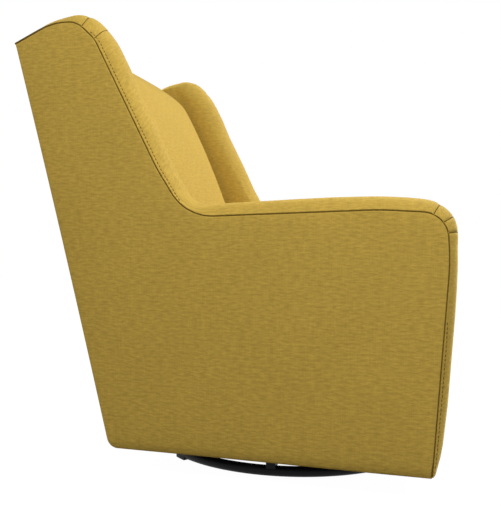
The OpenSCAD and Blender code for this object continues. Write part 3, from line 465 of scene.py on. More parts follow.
def cut_all(piece, cuts, flatten=False):
    """Cuts a whole piece across, by rows of places given with their axis; its loose triangles may be joined first."""
    bm = bmesh.new()
    bm.from_mesh(piece.data)
    if flatten:
        bmesh.ops.dissolve_limit(bm, angle_limit=math.radians(0.5), verts=bm.verts, edges=bm.edges)
    for axis, places in cuts:
        for place in places:
            bisected(bm, list(bm.verts) + list(bm.edges) + list(bm.faces), axis, place)
    bm.to_mesh(piece.data)
    bm.free()


# ---------------------------------------------------------------- finishes


class Nodes:
    """Shorthand for building the nodes of a new material or world."""

    def __init__(self, name, kind="materials"):
        self.owner = getattr(bpy.data, kind).new(name)
        self.owner.use_nodes = True
        self.tree = self.owner.node_tree
        self.shader = self.tree.nodes.get("Principled BSDF")

    def add(self, kind, **settings):
        made = self.tree.nodes.new(kind)
        for key, value in settings.items():
            setattr(made, key, value)
        return made

    def feed(self, socket, given):
        """Links a socket to another one, or sets it to a number or a colour."""
        if isinstance(given, bpy.types.NodeSocket):
            self.tree.links.new(given, socket)
        elif isinstance(given, (int, float)):
            socket.default_value = given
        else:
            socket.default_value = (*given[:3], 1)

    def math(self, operation, *given):
        made = self.add("ShaderNodeMath", operation=operation)
        for socket, value in zip(made.inputs, given):
            self.feed(socket, value)
        return made.outputs[0]

    def woven(self, u, v, pitch):
        """Height of a plain weave with this distance between its yarns."""
        over, under = (self.math("SINE", self.math("MULTIPLY", way, math.pi / pitch)) for way in (u, v))
        return self.math("MULTIPLY", over, under)

    def object_place(self):
        return self.add("ShaderNodeTexCoord").outputs["Object"]

    def weave_place(self):
        return self.add("ShaderNodeUVMap", uv_map="weave").outputs[0]

    def axes(self, source):
        made = self.add("ShaderNodeSeparateXYZ")
        self.feed(made.inputs[0], source)
        return made.outputs

    def stretched(self, source, scale):
        made = self.add("ShaderNodeMapping")
        made.inputs["Scale"].default_value = scale
        self.feed(made.inputs["Vector"], source)
        return made.outputs[0]

    def noise(self, source, scale, detail=2.0, roughness=0.5):
        """Noise of one scale, or of one for each direction."""
        if isinstance(scale, tuple):
            source, scale = self.stretched(source, scale), 1.0
        made = self.add("ShaderNodeTexNoise")
        for name, given in (("Vector", source), ("Scale", scale), ("Detail", detail), ("Roughness", roughness)):
            self.feed(made.inputs[name], given)
        return made.outputs[0]

    def remap(self, source, low, high, to_low, to_high):
        made = self.add("ShaderNodeMapRange")
        for name, given in (("Value", source), ("From Min", low), ("From Max", high),
                            ("To Min", to_low), ("To Max", to_high)):
            self.feed(made.inputs[name], given)
        return made.outputs[0]

    def mix(self, factor, a, b, blend_type="MIX"):
        made = self.add("ShaderNodeMix", data_type="RGBA", blend_type=blend_type)
        for socket, given in ((0, factor), (6, a), (7, b)):
            self.feed(made.inputs[socket], given)
        return made.outputs[2]

    def tone(self, source, dark, light, low=0.3, high=0.7):
        """Colour from dark to light as a texture goes from low to high."""
        return self.mix(self.remap(source, low, high, 0, 1), dark, light)

    def seen_directly(self):
        """1 where the camera, a mirror or glass looks, and 0 for the light that falls on the object."""
        path = self.add("ShaderNodeLightPath").outputs
        seen = path["Is Camera Ray"]
        for name in ("Is Glossy Ray", "Is Transmission Ray"):
            seen = self.math("MAXIMUM", seen, path[name])
        return seen

    def bump(self, height, strength, distance, under=None):
        made = self.add("ShaderNodeBump")
        for name, given in (("Height", height), ("Strength", strength), ("Distance", distance)):
            self.feed(made.inputs[name], given)
        if under is not None:
            self.feed(made.inputs["Normal"], under)
        return made.outputs[0]

    def finish(self, colour, normal, roughness, **others):
        """Feeds the shader, whose other sockets are named with _ for a space, and returns the material."""
        sockets = {"Base Color": colour, "Normal": normal, "Roughness": roughness, **others}
        for name, given in sockets.items():
            self.feed(self.shader.inputs[name.replace("_", " ")], given)
        return self.owner


def lighter(colour, share):
    return tuple(min(1.0, c * (1 + share)) for c in colour)


def woven_cover():
    """Matte linen-like weave with slubs that run across, in metres of the piece's own UV map."""
    cloth = chair_settings("glider_fabric")
    n = Nodes("woven mustard cover")
    uv = n.weave_place()
    base = tuple(cloth.colour)
    slubs = n.noise(uv, (1 / cloth.slub_length, 1 / 0.0050, 1), 2.0, 0.55)
    threads = n.noise(uv, (1 / 0.011, 1 / 0.0012, 1), 1.0)
    warp = n.noise(uv, (1 / 0.0022, 1 / 0.05, 1), 1.0)
    clouds = n.noise(uv, 7.0, 2.0)
    colour = n.tone(slubs, lighter(base, -cloth.dark_yarn), lighter(base, cloth.light_yarn), 0.30, 0.72)
    colour = n.mix(0.42, colour, n.tone(threads, lighter(base, -0.10), lighter(base, 0.10)))
    for source, grey in ((warp, 0.93), (clouds, 0.955)):
        colour = n.mix(1.0, colour, n.tone(source, (grey, grey, grey), (1.0, 1.0, 1.0)), "MULTIPLY")
    across, upright = n.axes(uv)[:2]
    relief = n.bump(n.woven(across, upright, cloth.yarn_pitch), 0.35, 0.00025)
    relief = n.bump(slubs, 0.55, 0.0012, relief)
    return n.finish(colour, relief, n.remap(threads, 0.2, 0.8, 0.82, 0.96), Sheen_Weight=cloth.sheen,
                    Sheen_Roughness=0.35, Sheen_Tint=(1.0, 0.72, 0.18), Specular_IOR_Level=0.12)


def sewing_thread():
    n = Nodes("brown sewing thread")
    thread = tuple(chair_settings("glider_fabric").thread_colour)
    twist = n.noise(n.object_place(), 900.0, 1.0)
    colour = n.tone(twist, lighter(thread, -0.3), lighter(thread, 0.35))
    return n.finish(colour, n.bump(twist, 0.4, 0.0003), 0.85, Specular_IOR_Level=0.08)


# Painted shade: the seam and dart cords are coloured dark to stand for the shadow in the seams' grooves and in the
# darts
def seam_shadow():
    n = Nodes("folded seam")
    seam_shade_mottle = n.noise(n.object_place(), 260.0, 2.0)
    colour = n.tone(seam_shade_mottle, (0.100, 0.060, 0.011), (0.180, 0.112, 0.020))
    return n.finish(colour, n.bump(seam_shade_mottle, 0.5, 0.0005), 0.95, Specular_IOR_Level=0.05)


def bare_plywood():
    n = Nodes("plywood")
    at = n.object_place()
    plies = n.math("SINE", n.math("MULTIPLY", n.axes(at)[0], 2 * math.pi / 0.0057))
    grain = n.noise(at, (30, 12, 160), 4.0, 0.6)
    colour = n.tone(grain, (0.46, 0.31, 0.16), (0.62, 0.45, 0.26))
    edge = n.tone(plies, (0.80, 0.78, 0.76), (1, 1, 1), -0.2, 0.2)
    return n.finish(n.mix(1.0, colour, edge, "MULTIPLY"), n.bump(grain, 0.3, 0.0006), 0.72)


def planed_wood():
    n = Nodes("planed hardwood")
    at = n.object_place()
    moved = n.add("ShaderNodeVectorMath", operation="ADD")
    n.feed(moved.inputs[0], n.stretched(at, (6, 60, 60)))
    n.feed(moved.inputs[1], n.noise(at, 3.0, 2.0))
    grain = n.noise(moved.outputs[0], 1.6, 5.0, 0.62)
    pores = n.noise(at, (40, 900, 900), 1.0)
    colour = n.tone(grain, (0.35, 0.215, 0.105), (0.56, 0.385, 0.205), 0.32, 0.68)
    colour = n.mix(n.remap(pores, 0.55, 0.75, 0, 0.35), colour, (0.20, 0.12, 0.06))
    return n.finish(colour, n.bump(grain, 0.25, 0.0005), n.remap(grain, 0.3, 0.7, 0.55, 0.75))


def black_powder_coat():
    n = Nodes("black powder coat")
    at = n.object_place()
    orange_peel = n.noise(at, 900.0, 2.0)
    dust = n.noise(at, 14.0, 4.0, 0.65)
    colour = n.tone(dust, (0.004, 0.004, 0.0045), (0.010, 0.0095, 0.009), 0.45, 0.75)
    return n.finish(colour, n.bump(orange_peel, 0.18, 0.0003), n.remap(dust, 0.3, 0.75, 0.42, 0.60),
                    Specular_IOR_Level=0.14)


def zinc_plate():
    n = Nodes("zinc plate")
    at = n.object_place()
    brushed = n.noise(at, (30, 600, 600), 2.0)
    blotches = n.noise(at, 40.0, 3.0)
    colour = n.tone(blotches, (0.50, 0.51, 0.53), (0.66, 0.66, 0.65))
    return n.finish(colour, n.bump(brushed, 0.15, 0.0002), n.remap(blotches, 0.3, 0.7, 0.28, 0.46), Metallic=1.0)


def moulded(name, dark, light, roughness, shine, scale=320.0, bump=0.2):
    """Finish of a moulded part: a fine grain, a slow change of tone and a roughness that follows the grain."""
    n = Nodes(name)
    at = n.object_place()
    grain = n.noise(at, scale, 3.0)
    colour = n.tone(n.noise(at, 18.0, 2.0), dark, light)
    return n.finish(colour, n.bump(grain, bump, 0.0004),
                    n.remap(grain, 0.3, 0.7, roughness - 0.07, roughness + 0.07), Specular_IOR_Level=shine)


def moulded_nylon():
    return moulded("moulded nylon", (0.56, 0.54, 0.47), (0.68, 0.66, 0.60), 0.45, 0.5)


def black_plastic():
    return moulded("black plastic", (0.006, 0.006, 0.006), (0.012, 0.012, 0.012), 0.5, 0.14)


def black_rubber():
    return moulded("black rubber", (0.012, 0.012, 0.012), (0.022, 0.021, 0.020), 0.82, 0.2, 500.0, 0.4)


def pressed_felt():
    n = Nodes("pressed felt")
    at = n.object_place()
    fibres = n.noise(at, (260, 420, 420), 5.0, 0.7)
    flecks = n.noise(at, 90.0, 2.0)
    colour = n.tone(fibres, (0.16, 0.155, 0.145), (0.34, 0.33, 0.31))
    colour = n.mix(n.remap(flecks, 0.62, 0.72, 0, 0.5), colour, (0.42, 0.24, 0.20))
    return n.finish(colour, n.bump(fibres, 0.8, 0.0012), 0.97, Sheen_Weight=0.15)


def jute_strap():
    """Tightly woven jute with a dark stripe near each edge, in metres of the strap's own UV map."""
    n = Nodes("jute strap")
    at = n.weave_place()
    across, along = n.axes(at)[:2]
    weave = n.woven(across, along, 0.0018)
    yarn = n.noise(at, (500, 60, 1), 3.0)
    colour = n.tone(yarn, (0.26, 0.17, 0.08), (0.44, 0.31, 0.16))
    # Painted shade: darker where the weave's height is low, in the hollows between the yarns
    colour = n.mix(n.remap(weave, -1, 1, 0.35, 0), colour, (0.14, 0.09, 0.04))
    from_stripe = n.math("ABSOLUTE", n.math("SUBTRACT", n.math("ABSOLUTE", across), 0.0165))
    colour = n.mix(n.remap(from_stripe, 0.0012, 0.0018, 0.8, 0), colour, (0.20, 0.045, 0.035))
    return n.finish(colour, n.bump(weave, 0.7, 0.0006), 0.9)


def dust_cloth():
    n = Nodes("black dust cloth")
    at = n.object_place()
    dimples = n.add("ShaderNodeTexVoronoi", feature="F1")
    n.feed(dimples.inputs["Scale"], 420.0)
    n.feed(dimples.inputs["Vector"], at)
    lint = n.noise(at, 60.0, 4.0, 0.7)
    colour = n.tone(lint, (0.012, 0.012, 0.013), (0.035, 0.034, 0.033), 0.4, 0.7)
    return n.finish(colour, n.bump(dimples.outputs[0], 0.4, 0.0004), 0.88)


SLOT_FINISHES = {
    "plywood": bare_plywood,
    "hardwood": planed_wood,
    "black_steel": black_powder_coat,
    "zinc_steel": zinc_plate,
    "nylon": moulded_nylon,
    "black_plastic": black_plastic,
    "rubber": black_rubber,
}
MADE_FINISHES = {}


def give(piece, finish):
    """Gives a piece or a CAD node a finish, which is made once."""
    if finish not in MADE_FINISHES:
        MADE_FINISHES[finish] = finish()
    piece.data.materials.clear()
    piece.data.materials.append(MADE_FINISHES[finish])


# ---------------------------------------------------------------- sides


def panel_rings(sign, radius):
    """Rings of a side's outer panel from its inner face round its edge to the outer face."""
    rings = [[(sign * (PANEL_IN + SEAM_GAP), *p) for p in side_outline()]]
    for degrees in (0, 22.5, 45, 67.5, 90):
        turn = math.radians(degrees)
        x = sign * (SIDE_OUT - radius * (1 - math.sin(turn)))
        rings.append([(x, *p) for p in side_outline(radius * (1 - math.cos(turn)))])
    return rings


def edge_distance(points, outline):
    """Distance of each point of y and z from a closed outline."""
    a = np.array(outline)
    ab = np.roll(a, -1, axis=0) - a
    best = np.full(len(points), np.inf)
    for start, way in zip(a, ab):
        ap = points - start
        t = np.clip((ap @ way) / max(way @ way, 1e-12), 0, 1)
        best = np.minimum(best, np.linalg.norm(ap - t[:, None] * way, axis=1))
    return best


def side_panel(sign):
    """Padded outer panel of one side: its edge dips into the seam, its foot is rolled under."""
    name = SIDE_NAMES[sign]
    rings = panel_rings(sign, chair_settings("glider_sewing").seam_radius)
    piece = new_piece(f"outer_panel_{name}", *ringed(rings))
    bm = bmesh.new()
    bm.from_mesh(piece.data)
    bm.verts.ensure_lookup_table()
    outline = side_outline()
    bm.faces.new(bm.verts[:len(outline)])
    outer = bm.faces.new(list(reversed(bm.verts[-len(outline):])))
    parts = cut_up(bm, [outer], 1, np.arange(-0.45, 0.46, FACE_GRID))
    cut_up(bm, parts, 2, [*(UNDERSIDE + d for d in FOOT_ROWS), *np.arange(0.085, 0.955, FACE_GRID)])
    bmesh.ops.recalc_face_normals(bm, faces=bm.faces)
    bm.to_mesh(piece.data)
    bm.free()
    co = coordinates(piece)
    x, y, z = np.abs(co[:, 0]), co[:, 1], co[:, 2]
    depth = edge_distance(co[:, 1:], outline)
    outside = x > PANEL_IN + 0.001
    above = z - UNDERSIDE
    swell = chair_settings("glider_padding").panel_fullness * risen(depth, 0.030) * smooth(above / 0.05)
    ripple = 0.00035 * uneven(y, z, (41, 1.3), (33, 0.4)) * risen(depth, 0.05)
    below = 1 - np.clip(above / FOOT_ROWS[-1], 0, 1)
    under = FOOT_ROLL * (0.6 * below ** 1.6 + 0.4 * (1 - np.sqrt(1 - below ** 2)))
    droop = (0.0030 + 0.0016 * smooth((0.10 - y) / 0.45)) * (1 - smooth(above / 0.016))
    co[:, 0] = sign * np.maximum(x + (swell + ripple - under) * outside, PANEL_IN + SEAM_GAP)
    co[:, 2] -= droop * outside
    set_coordinates(piece, co)
    face_outwards(piece)
    shade(piece, 50)
    panel_uv(piece)
    give(piece, woven_cover)
    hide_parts(f"side_panel_{name}")


def dart_line(dart, from_seam):
    """Length along the seam of a dart at a distance from the seam."""
    return dart + WING_DART_SLANT * from_seam * (dart in WING_DARTS)


def dart_dip(s, x, rise):
    """Depth of the darts at a length along the band, with x and the distance from the seam across it."""
    depth = chair_settings("glider_sewing").dart_depth
    dip = 0.0
    for dart in DARTS:
        away = np.abs(s - dart_line(dart, rise))
        dip = dip + depth * hump(away, 0.0022) + 0.0005 * hump(away, 0.009)
    for first, last in zip(ARM_DARTS, ARM_DARTS[1:]):
        t = min(1.0, max(0.0, (s - first) / (last - first)))
        dip += 0.0008 * 4 * t * (1 - t)
    return dip * smooth((x - (SIDE_IN + 0.026)) / 0.030)


def band_surface():
    """Stations of the left band: place, normal, length, and x, height and distance from the seam across each."""
    path, normal, crown, s = band_path()
    across = -np.cos(np.linspace(0, np.pi, 45))
    x = SIDE_IN + (SIDE_OUT - SIDE_IN) * (1 + across) / 2
    rows = []
    for at, high in zip(s, crown):
        h = BAND_EDGE + high * (1 - np.abs(across) ** BAND_ROUNDNESS)
        offset = topstitch_offset(at)
        rise = np.concatenate([[0], np.cumsum(np.hypot(np.diff(x[::-1]), np.diff(h[::-1])))])[::-1]
        drop = dart_dip(at, x, rise)
        if offset > DRAWN_FROM:
            drop = drop + 0.0009 * hump(rise - offset, 0.0020)
        pucker = 0.00030 * math.sin(2 * math.pi * at / 0.021) * hump(rise, 0.012)
        rows.append((x, np.maximum(h - drop + pucker, 0.0006), rise))
    return path, normal, s, rows


def inward(y, z, depth):
    """How far a padded inner face stands off its frame: a soft roll at its edge and a slight swell."""
    padding = chair_settings("glider_padding")
    (y_low, z_low), (y_high, z_high) = BACK_FACE
    before_back = smooth((y_low + (z - z_low) * (y_high - y_low) / (z_high - z_low) + 0.002 - y) / 0.035)
    above_seat = smooth((z - 0.47) / 0.05)
    depth = np.maximum(depth + 0.0025, 0)
    roll = padding.edge_roll * risen(depth, 0.010) * hump(depth, 0.055)
    swell = padding.inner_fullness * risen(depth, 0.045)
    soft = 0.0006 * uneven(y, z, (37, 0.7), (29, 1.9)) * risen(depth, 0.03)
    return (roll + swell + soft) * before_back * above_seat


def over_path(flat, path, normal):
    """Nearest station of each point of y and z, and how far outside the seam the point lies."""
    near = np.concatenate([np.linalg.norm(flat[i:i + AT_ONCE, None] - path, axis=2).argmin(axis=1)
                           for i in range(0, len(flat), AT_ONCE)])
    return near, np.einsum("ij,ij->i", flat - path[near], normal[near])


def side_cover(sign):
    """Band over the edge of one side and the padded inner face, both in one cover."""
    name = SIDE_NAMES[sign]
    path, normal, _, rows = band_surface()
    inner = FRAME_IN - SEAM_GAP
    lip = [(inner, 0.0003), (SIDE_OUT - 0.0024, 0.0003), (SIDE_OUT - 0.0010, 0.0008), (SIDE_OUT - 0.0003, 0.0017)]
    bm = bmesh.new()
    unrolled = bm.verts.layers.float.new("across")

    def add(x, p, across=0.0):
        made = bm.verts.new((sign * x, *p))
        made[unrolled] = across
        return made

    def quads(a, b):
        for i in range(len(a) - 1):
            bm.faces.new((a[i], a[i + 1], b[i + 1], b[i]))

    bands, faces_in = [], []
    foot = int(np.argmin(np.abs(path[:, 1] - PAD_FOOT) + (path[:, 0] > -0.4)))
    for k, (x, h, rise) in enumerate(rows):
        section = [(*p, rise[0]) for p in lip] + list(zip(x[::-1], h[::-1], rise[0] - rise[::-1]))
        bands.append([add(sx, path[k] + normal[k] * sh, across) for sx, sh, across in section])
        bands[-1].append(add(SIDE_IN, path[k] + normal[k] * SEAM_GAP))
        if k >= foot:
            faces_in.append([bands[-1][-1]] + [add(SIDE_IN, path[k] - normal[k] * d) for d in FACE_STEPS])
    for k, (a, b) in enumerate(zip(bands, bands[1:])):
        quads(a, b)
        if k < foot:
            bm.faces.new((a[-1], a[0], b[0], b[-1]))
    for a, b in zip(faces_in, faces_in[1:]):
        quads(a, b)
    top, rear = CORNERS[BAND_LAST], CORNERS[BAND_LAST + 1]
    low = (blend(rear[0], top[0], (PAD_FOOT - rear[1]) / (top[1] - rear[1])), PAD_FOOT)
    rear_in, rear_back = add(SIDE_IN, low), add(inner, low)
    bm.faces.new(bands[0])
    bm.faces.new(bands[-1] + faces_in[-1][1:])
    bm.faces.new((faces_in[-1][-1], bands[-1][0], rear_back, rear_in))
    bm.faces.new([rear_in, rear_back, bands[foot][0], *faces_in[0]])
    bm.faces.new([band[0] for band in bands[foot:]] + [rear_back])
    face = bm.faces.new([f[-1] for f in faces_in] + [rear_in])
    parts = cut_up(bm, [face], 1, np.arange(-0.42, 0.46, FACE_GRID))
    cut_up(bm, parts, 2, np.arange(0.32, 0.94, FACE_GRID))
    bmesh.ops.recalc_face_normals(bm, faces=bm.faces)
    piece = new_piece(f"side_cover_{name}", [], [])
    bm.to_mesh(piece.data)
    bm.free()
    across = values_of(piece.data.attributes["across"].data, "value")
    piece.data.attributes.remove(piece.data.attributes["across"])
    co = coordinates(piece)
    near, outside = over_path(co[:, 1:], path, normal)
    over = (across > 0)[:, None]
    weave_uv(piece, np.where(over, path[near] + normal[near] * across[:, None], co[:, 1:]))
    on_face = np.abs(co[:, 0]) < SIDE_IN + 0.0001
    co[:, 0] -= sign * inward(co[:, 1], co[:, 2], -outside) * on_face
    set_coordinates(piece, co)
    shade(piece, 50)
    give(piece, woven_cover)
    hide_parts(f"edge_band_{name}", f"inner_pad_{name}")


def front_return(sign):
    """Cover that turns in from the band's foot over the front post, as far as the front border."""
    (y_foot, z_foot), (y_top, z_top) = CORNERS[0][:2], CORNERS[1][:2]
    rings = []
    for z in np.linspace(UNDERSIDE + 0.0028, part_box("front_border")[1].z - 0.0020, 30):
        y = blend(y_foot, y_top, (z - z_foot) / (z_top - z_foot)) + 0.0004
        soft = 0.0003 * math.sin(z * 60)
        section = [(0.0001, 0.0), (-0.0014 + soft, 0.0004), (-0.0016 + soft, 0.006), (-0.0015 - soft, 0.014),
                   (-0.0014 - soft, 0.021), (-0.0011, 0.0245), (-0.0004, 0.0258), (0.0001, 0.0250), (0.0001, 0.012)]
        rings.append([(sign * (SIDE_IN + dx), y + dy, z) for dx, dy in section])
    piece = new_piece(f"front_return_{SIDE_NAMES[sign]}", *ringed(rings, capped=True))
    face_outwards(piece)
    shade(piece, 50)
    panel_uv(piece)
    give(piece, woven_cover)


# ---------------------------------------------------------------- sewing


def circle(centre, side, other, radius, count):
    """Places round a centre, from one of two directions towards the other."""
    turns = [2 * math.pi * k / count for k in range(count)]
    return [centre + radius * (side * math.cos(t) + other * math.sin(t)) for t in turns]


def tube(name, centres, radius, closed=False, sides=8, finish=seam_shadow):
    """Round cord through a row of places, with closed ends. It has one radius, or one for each place. By default it
    carries the dark painted seam shade.
    """
    centres = [Vector(c) for c in centres]
    radii = np.broadcast_to(radius, len(centres))
    n = len(centres)
    rings, side = [], None
    for i, c in enumerate(centres):
        ahead = centres[(i + 1) % n] if closed or i + 1 < n else c
        behind = centres[i - 1] if closed or i > 0 else c
        along = (ahead - behind).normalized()
        side = along.orthogonal() if side is None else side - along * side.dot(along)
        side.normalize()
        rings.append(circle(c, side, along.cross(side), float(radii[i]), sides))
    vertices, faces = ringed(rings + rings[:1] if closed else rings, capped=not closed)
    if closed:
        count = n * sides
        vertices, faces = vertices[:count], [tuple(v % count for v in face) for face in faces]
    piece = new_piece(name, vertices, faces)
    face_outwards(piece)
    shade(piece, 60)
    give(piece, finish)
    return piece


# Rings of one stitch: place along it, lift and girth in thread radii
STITCH_RINGS = ((0, -0.7, 0.5), (0.18, 0.35, 0.95), (0.5, 0.55, 1.0), (0.82, 0.35, 0.95), (1, -0.7, 0.5))
STITCH_SIDES = 6


def stitch_row(name, stitches, radius, finish=sewing_thread):
    """Row of stitches or staples, each a short thread or wire that dips into the cover at both ends."""
    vertices, faces = [], []
    for start, end, out in stitches:
        start, end, out = Vector(start), Vector(end), Vector(out).normalized()
        along = (end - start).normalized()
        side = along.cross(out).normalized()
        out = side.cross(along)
        rings = [circle(start.lerp(end, t) + out * lift * radius, side, out, radius * girth, STITCH_SIDES)
                 for t, lift, girth in STITCH_RINGS]
        first = len(vertices)
        places, parts = ringed(rings, capped=True)
        vertices += places
        faces += [tuple(first + v for v in face) for face in parts]
    piece = new_piece(name, vertices, faces)
    face_outwards(piece)
    shade(piece, 60)
    give(piece, finish)
    return piece


def band_point(surface, at, from_seam):
    """Place on the left band at a length along the seam and a distance from it."""
    path, normal, s, rows = surface

    def point(k):
        x, h, rise = (row[::-1] for row in rows[k])
        place = path[k] + normal[k] * np.interp(from_seam, rise, h)
        return np.array([np.interp(from_seam, rise, x), *place])

    k = int(np.clip(np.searchsorted(s, at) - 1, 0, len(s) - 2))
    t = (at - s[k]) / (s[k + 1] - s[k])
    return point(k) * (1 - t) + point(k + 1) * t


def band_sewing(sign):
    """Seam cord between panel and band, the topstitching beside it and the darts' seams. The seam and dart cords
    carry the dark painted seam shade.
    """
    sewing = chair_settings("glider_sewing")
    name, flip = SIDE_NAMES[sign], np.array([sign, 1, 1])
    surface = band_surface()
    path, normal, s, _ = surface
    keep = [k for k in range(len(s)) if k % 2 == 0 or k == len(s) - 1]
    # Up the wing the dark cord grows thicker, so that its painted shade widens there
    heavy = smooth((s[keep] - 1.50) / 0.10)
    centres = [(sign * (SIDE_OUT - 0.0022), *(path[k] + normal[k] * (0.0004 + 0.0008 * w)))
               for k, w in zip(keep, heavy)]
    tube(f"side_seam_{name}", centres, SIDE_CORD + WING_CORD_MORE * heavy)
    stitches = []
    at = 0.006
    while at < s[-1] - 0.01:
        end = at + sewing.stitch_length
        a, b = topstitch_offset(at), topstitch_offset(end)
        if min(a, b) > SEWN_FROM:
            p, q = band_point(surface, at, a), band_point(surface, end, b)
            inside = band_point(surface, at, a + 0.004) - band_point(surface, at, max(a - 0.004, 0))
            out = np.cross(inside, q - p)
            if out @ np.array([0.3, *normal[int(np.searchsorted(s, at))]]) < 0:
                out = -out
            stitches.append((p * flip, q * flip, out * flip))
        at += sewing.stitch_pitch
    stitch_row(f"topstitching_{name}", stitches, sewing.thread_radius)
    for number, dart in enumerate(DARTS, 1):
        places = []
        for d in np.linspace(0.001, DART_LENGTH, 26):
            line = dart_line(dart, d)
            lift = np.array([0, *(normal[int(np.searchsorted(s, line))] * 0.0002)])
            places.append((band_point(surface, line, d) + lift) * flip)
        tube(f"dart_{name}_{number}", places, DART_CORD, sides=6)


# How far from its line a sewn-in cord draws the cover in, the width and depth of the dip, and the cord's radius
SEAM_REACH, SEAM_WIDTH, SEAM_DIP, SEAM_CORD = 0.011, 0.0038, 0.0012, 0.0013


def seam_round(piece, name, places, inwards, closed=False):
    """Sews a cord into a cover: finds the cover along rays, draws it in there and lays the cord into the dip. The
    cord carries the dark painted seam shade.
    """
    mesh = piece.data
    tree = BVHTree.FromPolygons([v.co for v in mesh.vertices], [p.vertices for p in mesh.polygons])
    hits = [tree.ray_cast(Vector(place), Vector(way).normalized())
            for place, way in zip(places, np.broadcast_to(inwards, (len(places), 3)))]
    line, out = (np.array([hit[i] for hit in hits if hit[0] is not None]) for i in (0, 1))
    co = coordinates(piece)
    low, high = line.min(axis=0) - SEAM_REACH, line.max(axis=0) + SEAM_REACH
    close = np.flatnonzero(((co > low) & (co < high)).all(axis=1))
    for i in range(0, len(close), AT_ONCE):
        part = close[i:i + AT_ONCE]
        away = np.linalg.norm(co[part][:, None] - line, axis=2)
        amount = SEAM_DIP * hump(away.min(axis=1), SEAM_WIDTH)
        co[part] -= out[away.argmin(axis=1)] * amount[:, None]
    set_coordinates(piece, co)
    tube(name, line - out * (SEAM_DIP - 0.0004), SEAM_CORD, closed=closed, sides=6)


def around(low, high, z):
    """Places outside a round-cornered box at a height, and the ways inwards from them."""
    half, middle = (high.x, (high.y - low.y) / 2), Vector((0, (low.y + high.y) / 2, z))
    places, inwards = [], []
    for turn in np.linspace(0, 2 * math.pi, 220, endpoint=False):
        ways = (math.cos(turn), math.sin(turn))
        x, y = (size * math.copysign(abs(way) ** (1 / 3), way) for size, way in zip(half, ways))
        inwards.append(Vector((-ways[0], -ways[1], 0)))
        places.append(middle + Vector((x, y, 0)) - inwards[-1] * 0.06)
    return places, inwards


# ---------------------------------------------------------------- back and seat


# Settings of the cloth that a cover is filled as
CLOTH = {"quality": 4, "mass": 0.3, "use_pressure": True, "tension_stiffness": 12, "compression_stiffness": 12,
         "shear_stiffness": 6, "bending_stiffness": 0.6}


def stuffed(piece, cap, freedom, smoothing=6):
    """Fills a cover with cloth simulation, then lets each point move by at most cap times its freedom."""
    padding = chair_settings("glider_padding")
    modified(piece, "REMESH", mode="VOXEL", voxel_size=padding.voxel)
    modified(piece, "SMOOTH", factor=0.5, iterations=smoothing)
    rest = coordinates(piece)
    cloth = piece.modifiers.new("cloth", "CLOTH")
    for name, value in CLOTH.items():
        setattr(cloth.settings, name, value)
    cloth.settings.uniform_pressure_force = padding.pressure
    cloth.settings.effector_weights.gravity = 0
    cloth.point_cache.frame_start, cloth.point_cache.frame_end = 1, padding.frames
    for number in range(1, padding.frames + 1):
        bpy.context.scene.frame_set(number)
    only(piece)
    bpy.ops.object.modifier_apply(modifier="cloth")
    bpy.context.scene.frame_set(1)
    moved = coordinates(piece) - rest
    size = np.linalg.norm(moved, axis=1)
    moved *= (np.minimum(size, cap * freedom(rest)) / np.maximum(size, 1e-9))[:, None]
    set_coordinates(piece, rest + moved)
    modified(piece, "SMOOTH", factor=0.5, iterations=4)


def ready_cover(piece, node, uv=None):
    """Finishes a simulated cover: one subdivision, weave and finish, and hides the node that it stands for."""
    modified(piece, "SUBSURF", levels=1, render_levels=1)
    shade(piece, 80)
    if uv is None:
        boxed_uv(piece)
    else:
        panel_uv(piece, *uv)
    give(piece, woven_cover)
    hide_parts(node)


def inside_back():
    piece = copied_solid("inside_back", "inside_back_cover")
    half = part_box("inside_back")[1].x

    def freedom(rest):
        sides = smooth((half - np.abs(rest[:, 0])) / 0.05)
        lean = smooth((rest[:, 2] - 0.47) / 0.08)
        rear = smooth((-0.075 - behind_back(rest)) / 0.04)
        ridge = smooth((rest[:, 2] - 0.93) / 0.02)
        return sides * lean * np.maximum(rear, ridge)

    stuffed(piece, 0.004, freedom)
    within(piece, (-half, half), OPEN, OPEN)
    lean = math.radians(25)
    ready_cover(piece, "inside_back", ((1, 0, 0), (0, math.sin(lean), math.cos(lean))))
    xs = np.linspace(0.004 - half, half - 0.004, 90)
    seam_round(piece, "back_front_seam", [(x, 0.05, 0.505) for x in xs], (0, 1, 0))
    behind = BACK_HEAD + BACK_OUT * 0.05 + np.array([0, 0.006, 0.022])
    seam_round(piece, "back_rear_seam", [behind + np.array([x, 0, 0]) for x in xs], -BACK_OUT)


def seat_cushion():
    low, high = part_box("seat_cushion")
    piece = copied_solid("seat_cushion", "seat_cushion_cover")

    def freedom(rest):
        top = smooth((rest[:, 2] - 0.40) / 0.06)
        front = smooth((low.y + 0.05 - rest[:, 1]) / 0.04) * smooth((rest[:, 2] - 0.33) / 0.03)
        return np.maximum(top, front)

    stuffed(piece, 0.008, freedom)
    within(piece, (low.x, high.x), (-np.inf, high.y), (low.z, np.inf))
    ready_cover(piece, "seat_cushion")
    for name, z in (("seat_lower_seam", low.z + 0.016), ("seat_upper_seam", 0.432)):
        seam_round(piece, name, *around(low, high, z), closed=True)


def front_border():
    low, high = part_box("front_border")
    piece = copied_solid("front_border", "front_border_cover")
    stuffed(piece, 0.003, lambda rest: smooth((high.y - 0.012 - rest[:, 1]) / 0.01), smoothing=3)
    within(piece, (low.x, high.x), OPEN, OPEN)
    ready_cover(piece, "front_border")
    for name, z in (("border_lower_seam", low.z + 0.024), ("border_upper_seam", high.z - 0.020)):
        row = [(x, low.y - 0.05, z) for x in np.linspace(low.x + 0.004, high.x - 0.004, 90)]
        seam_round(piece, name, row, (0, 1, 0))


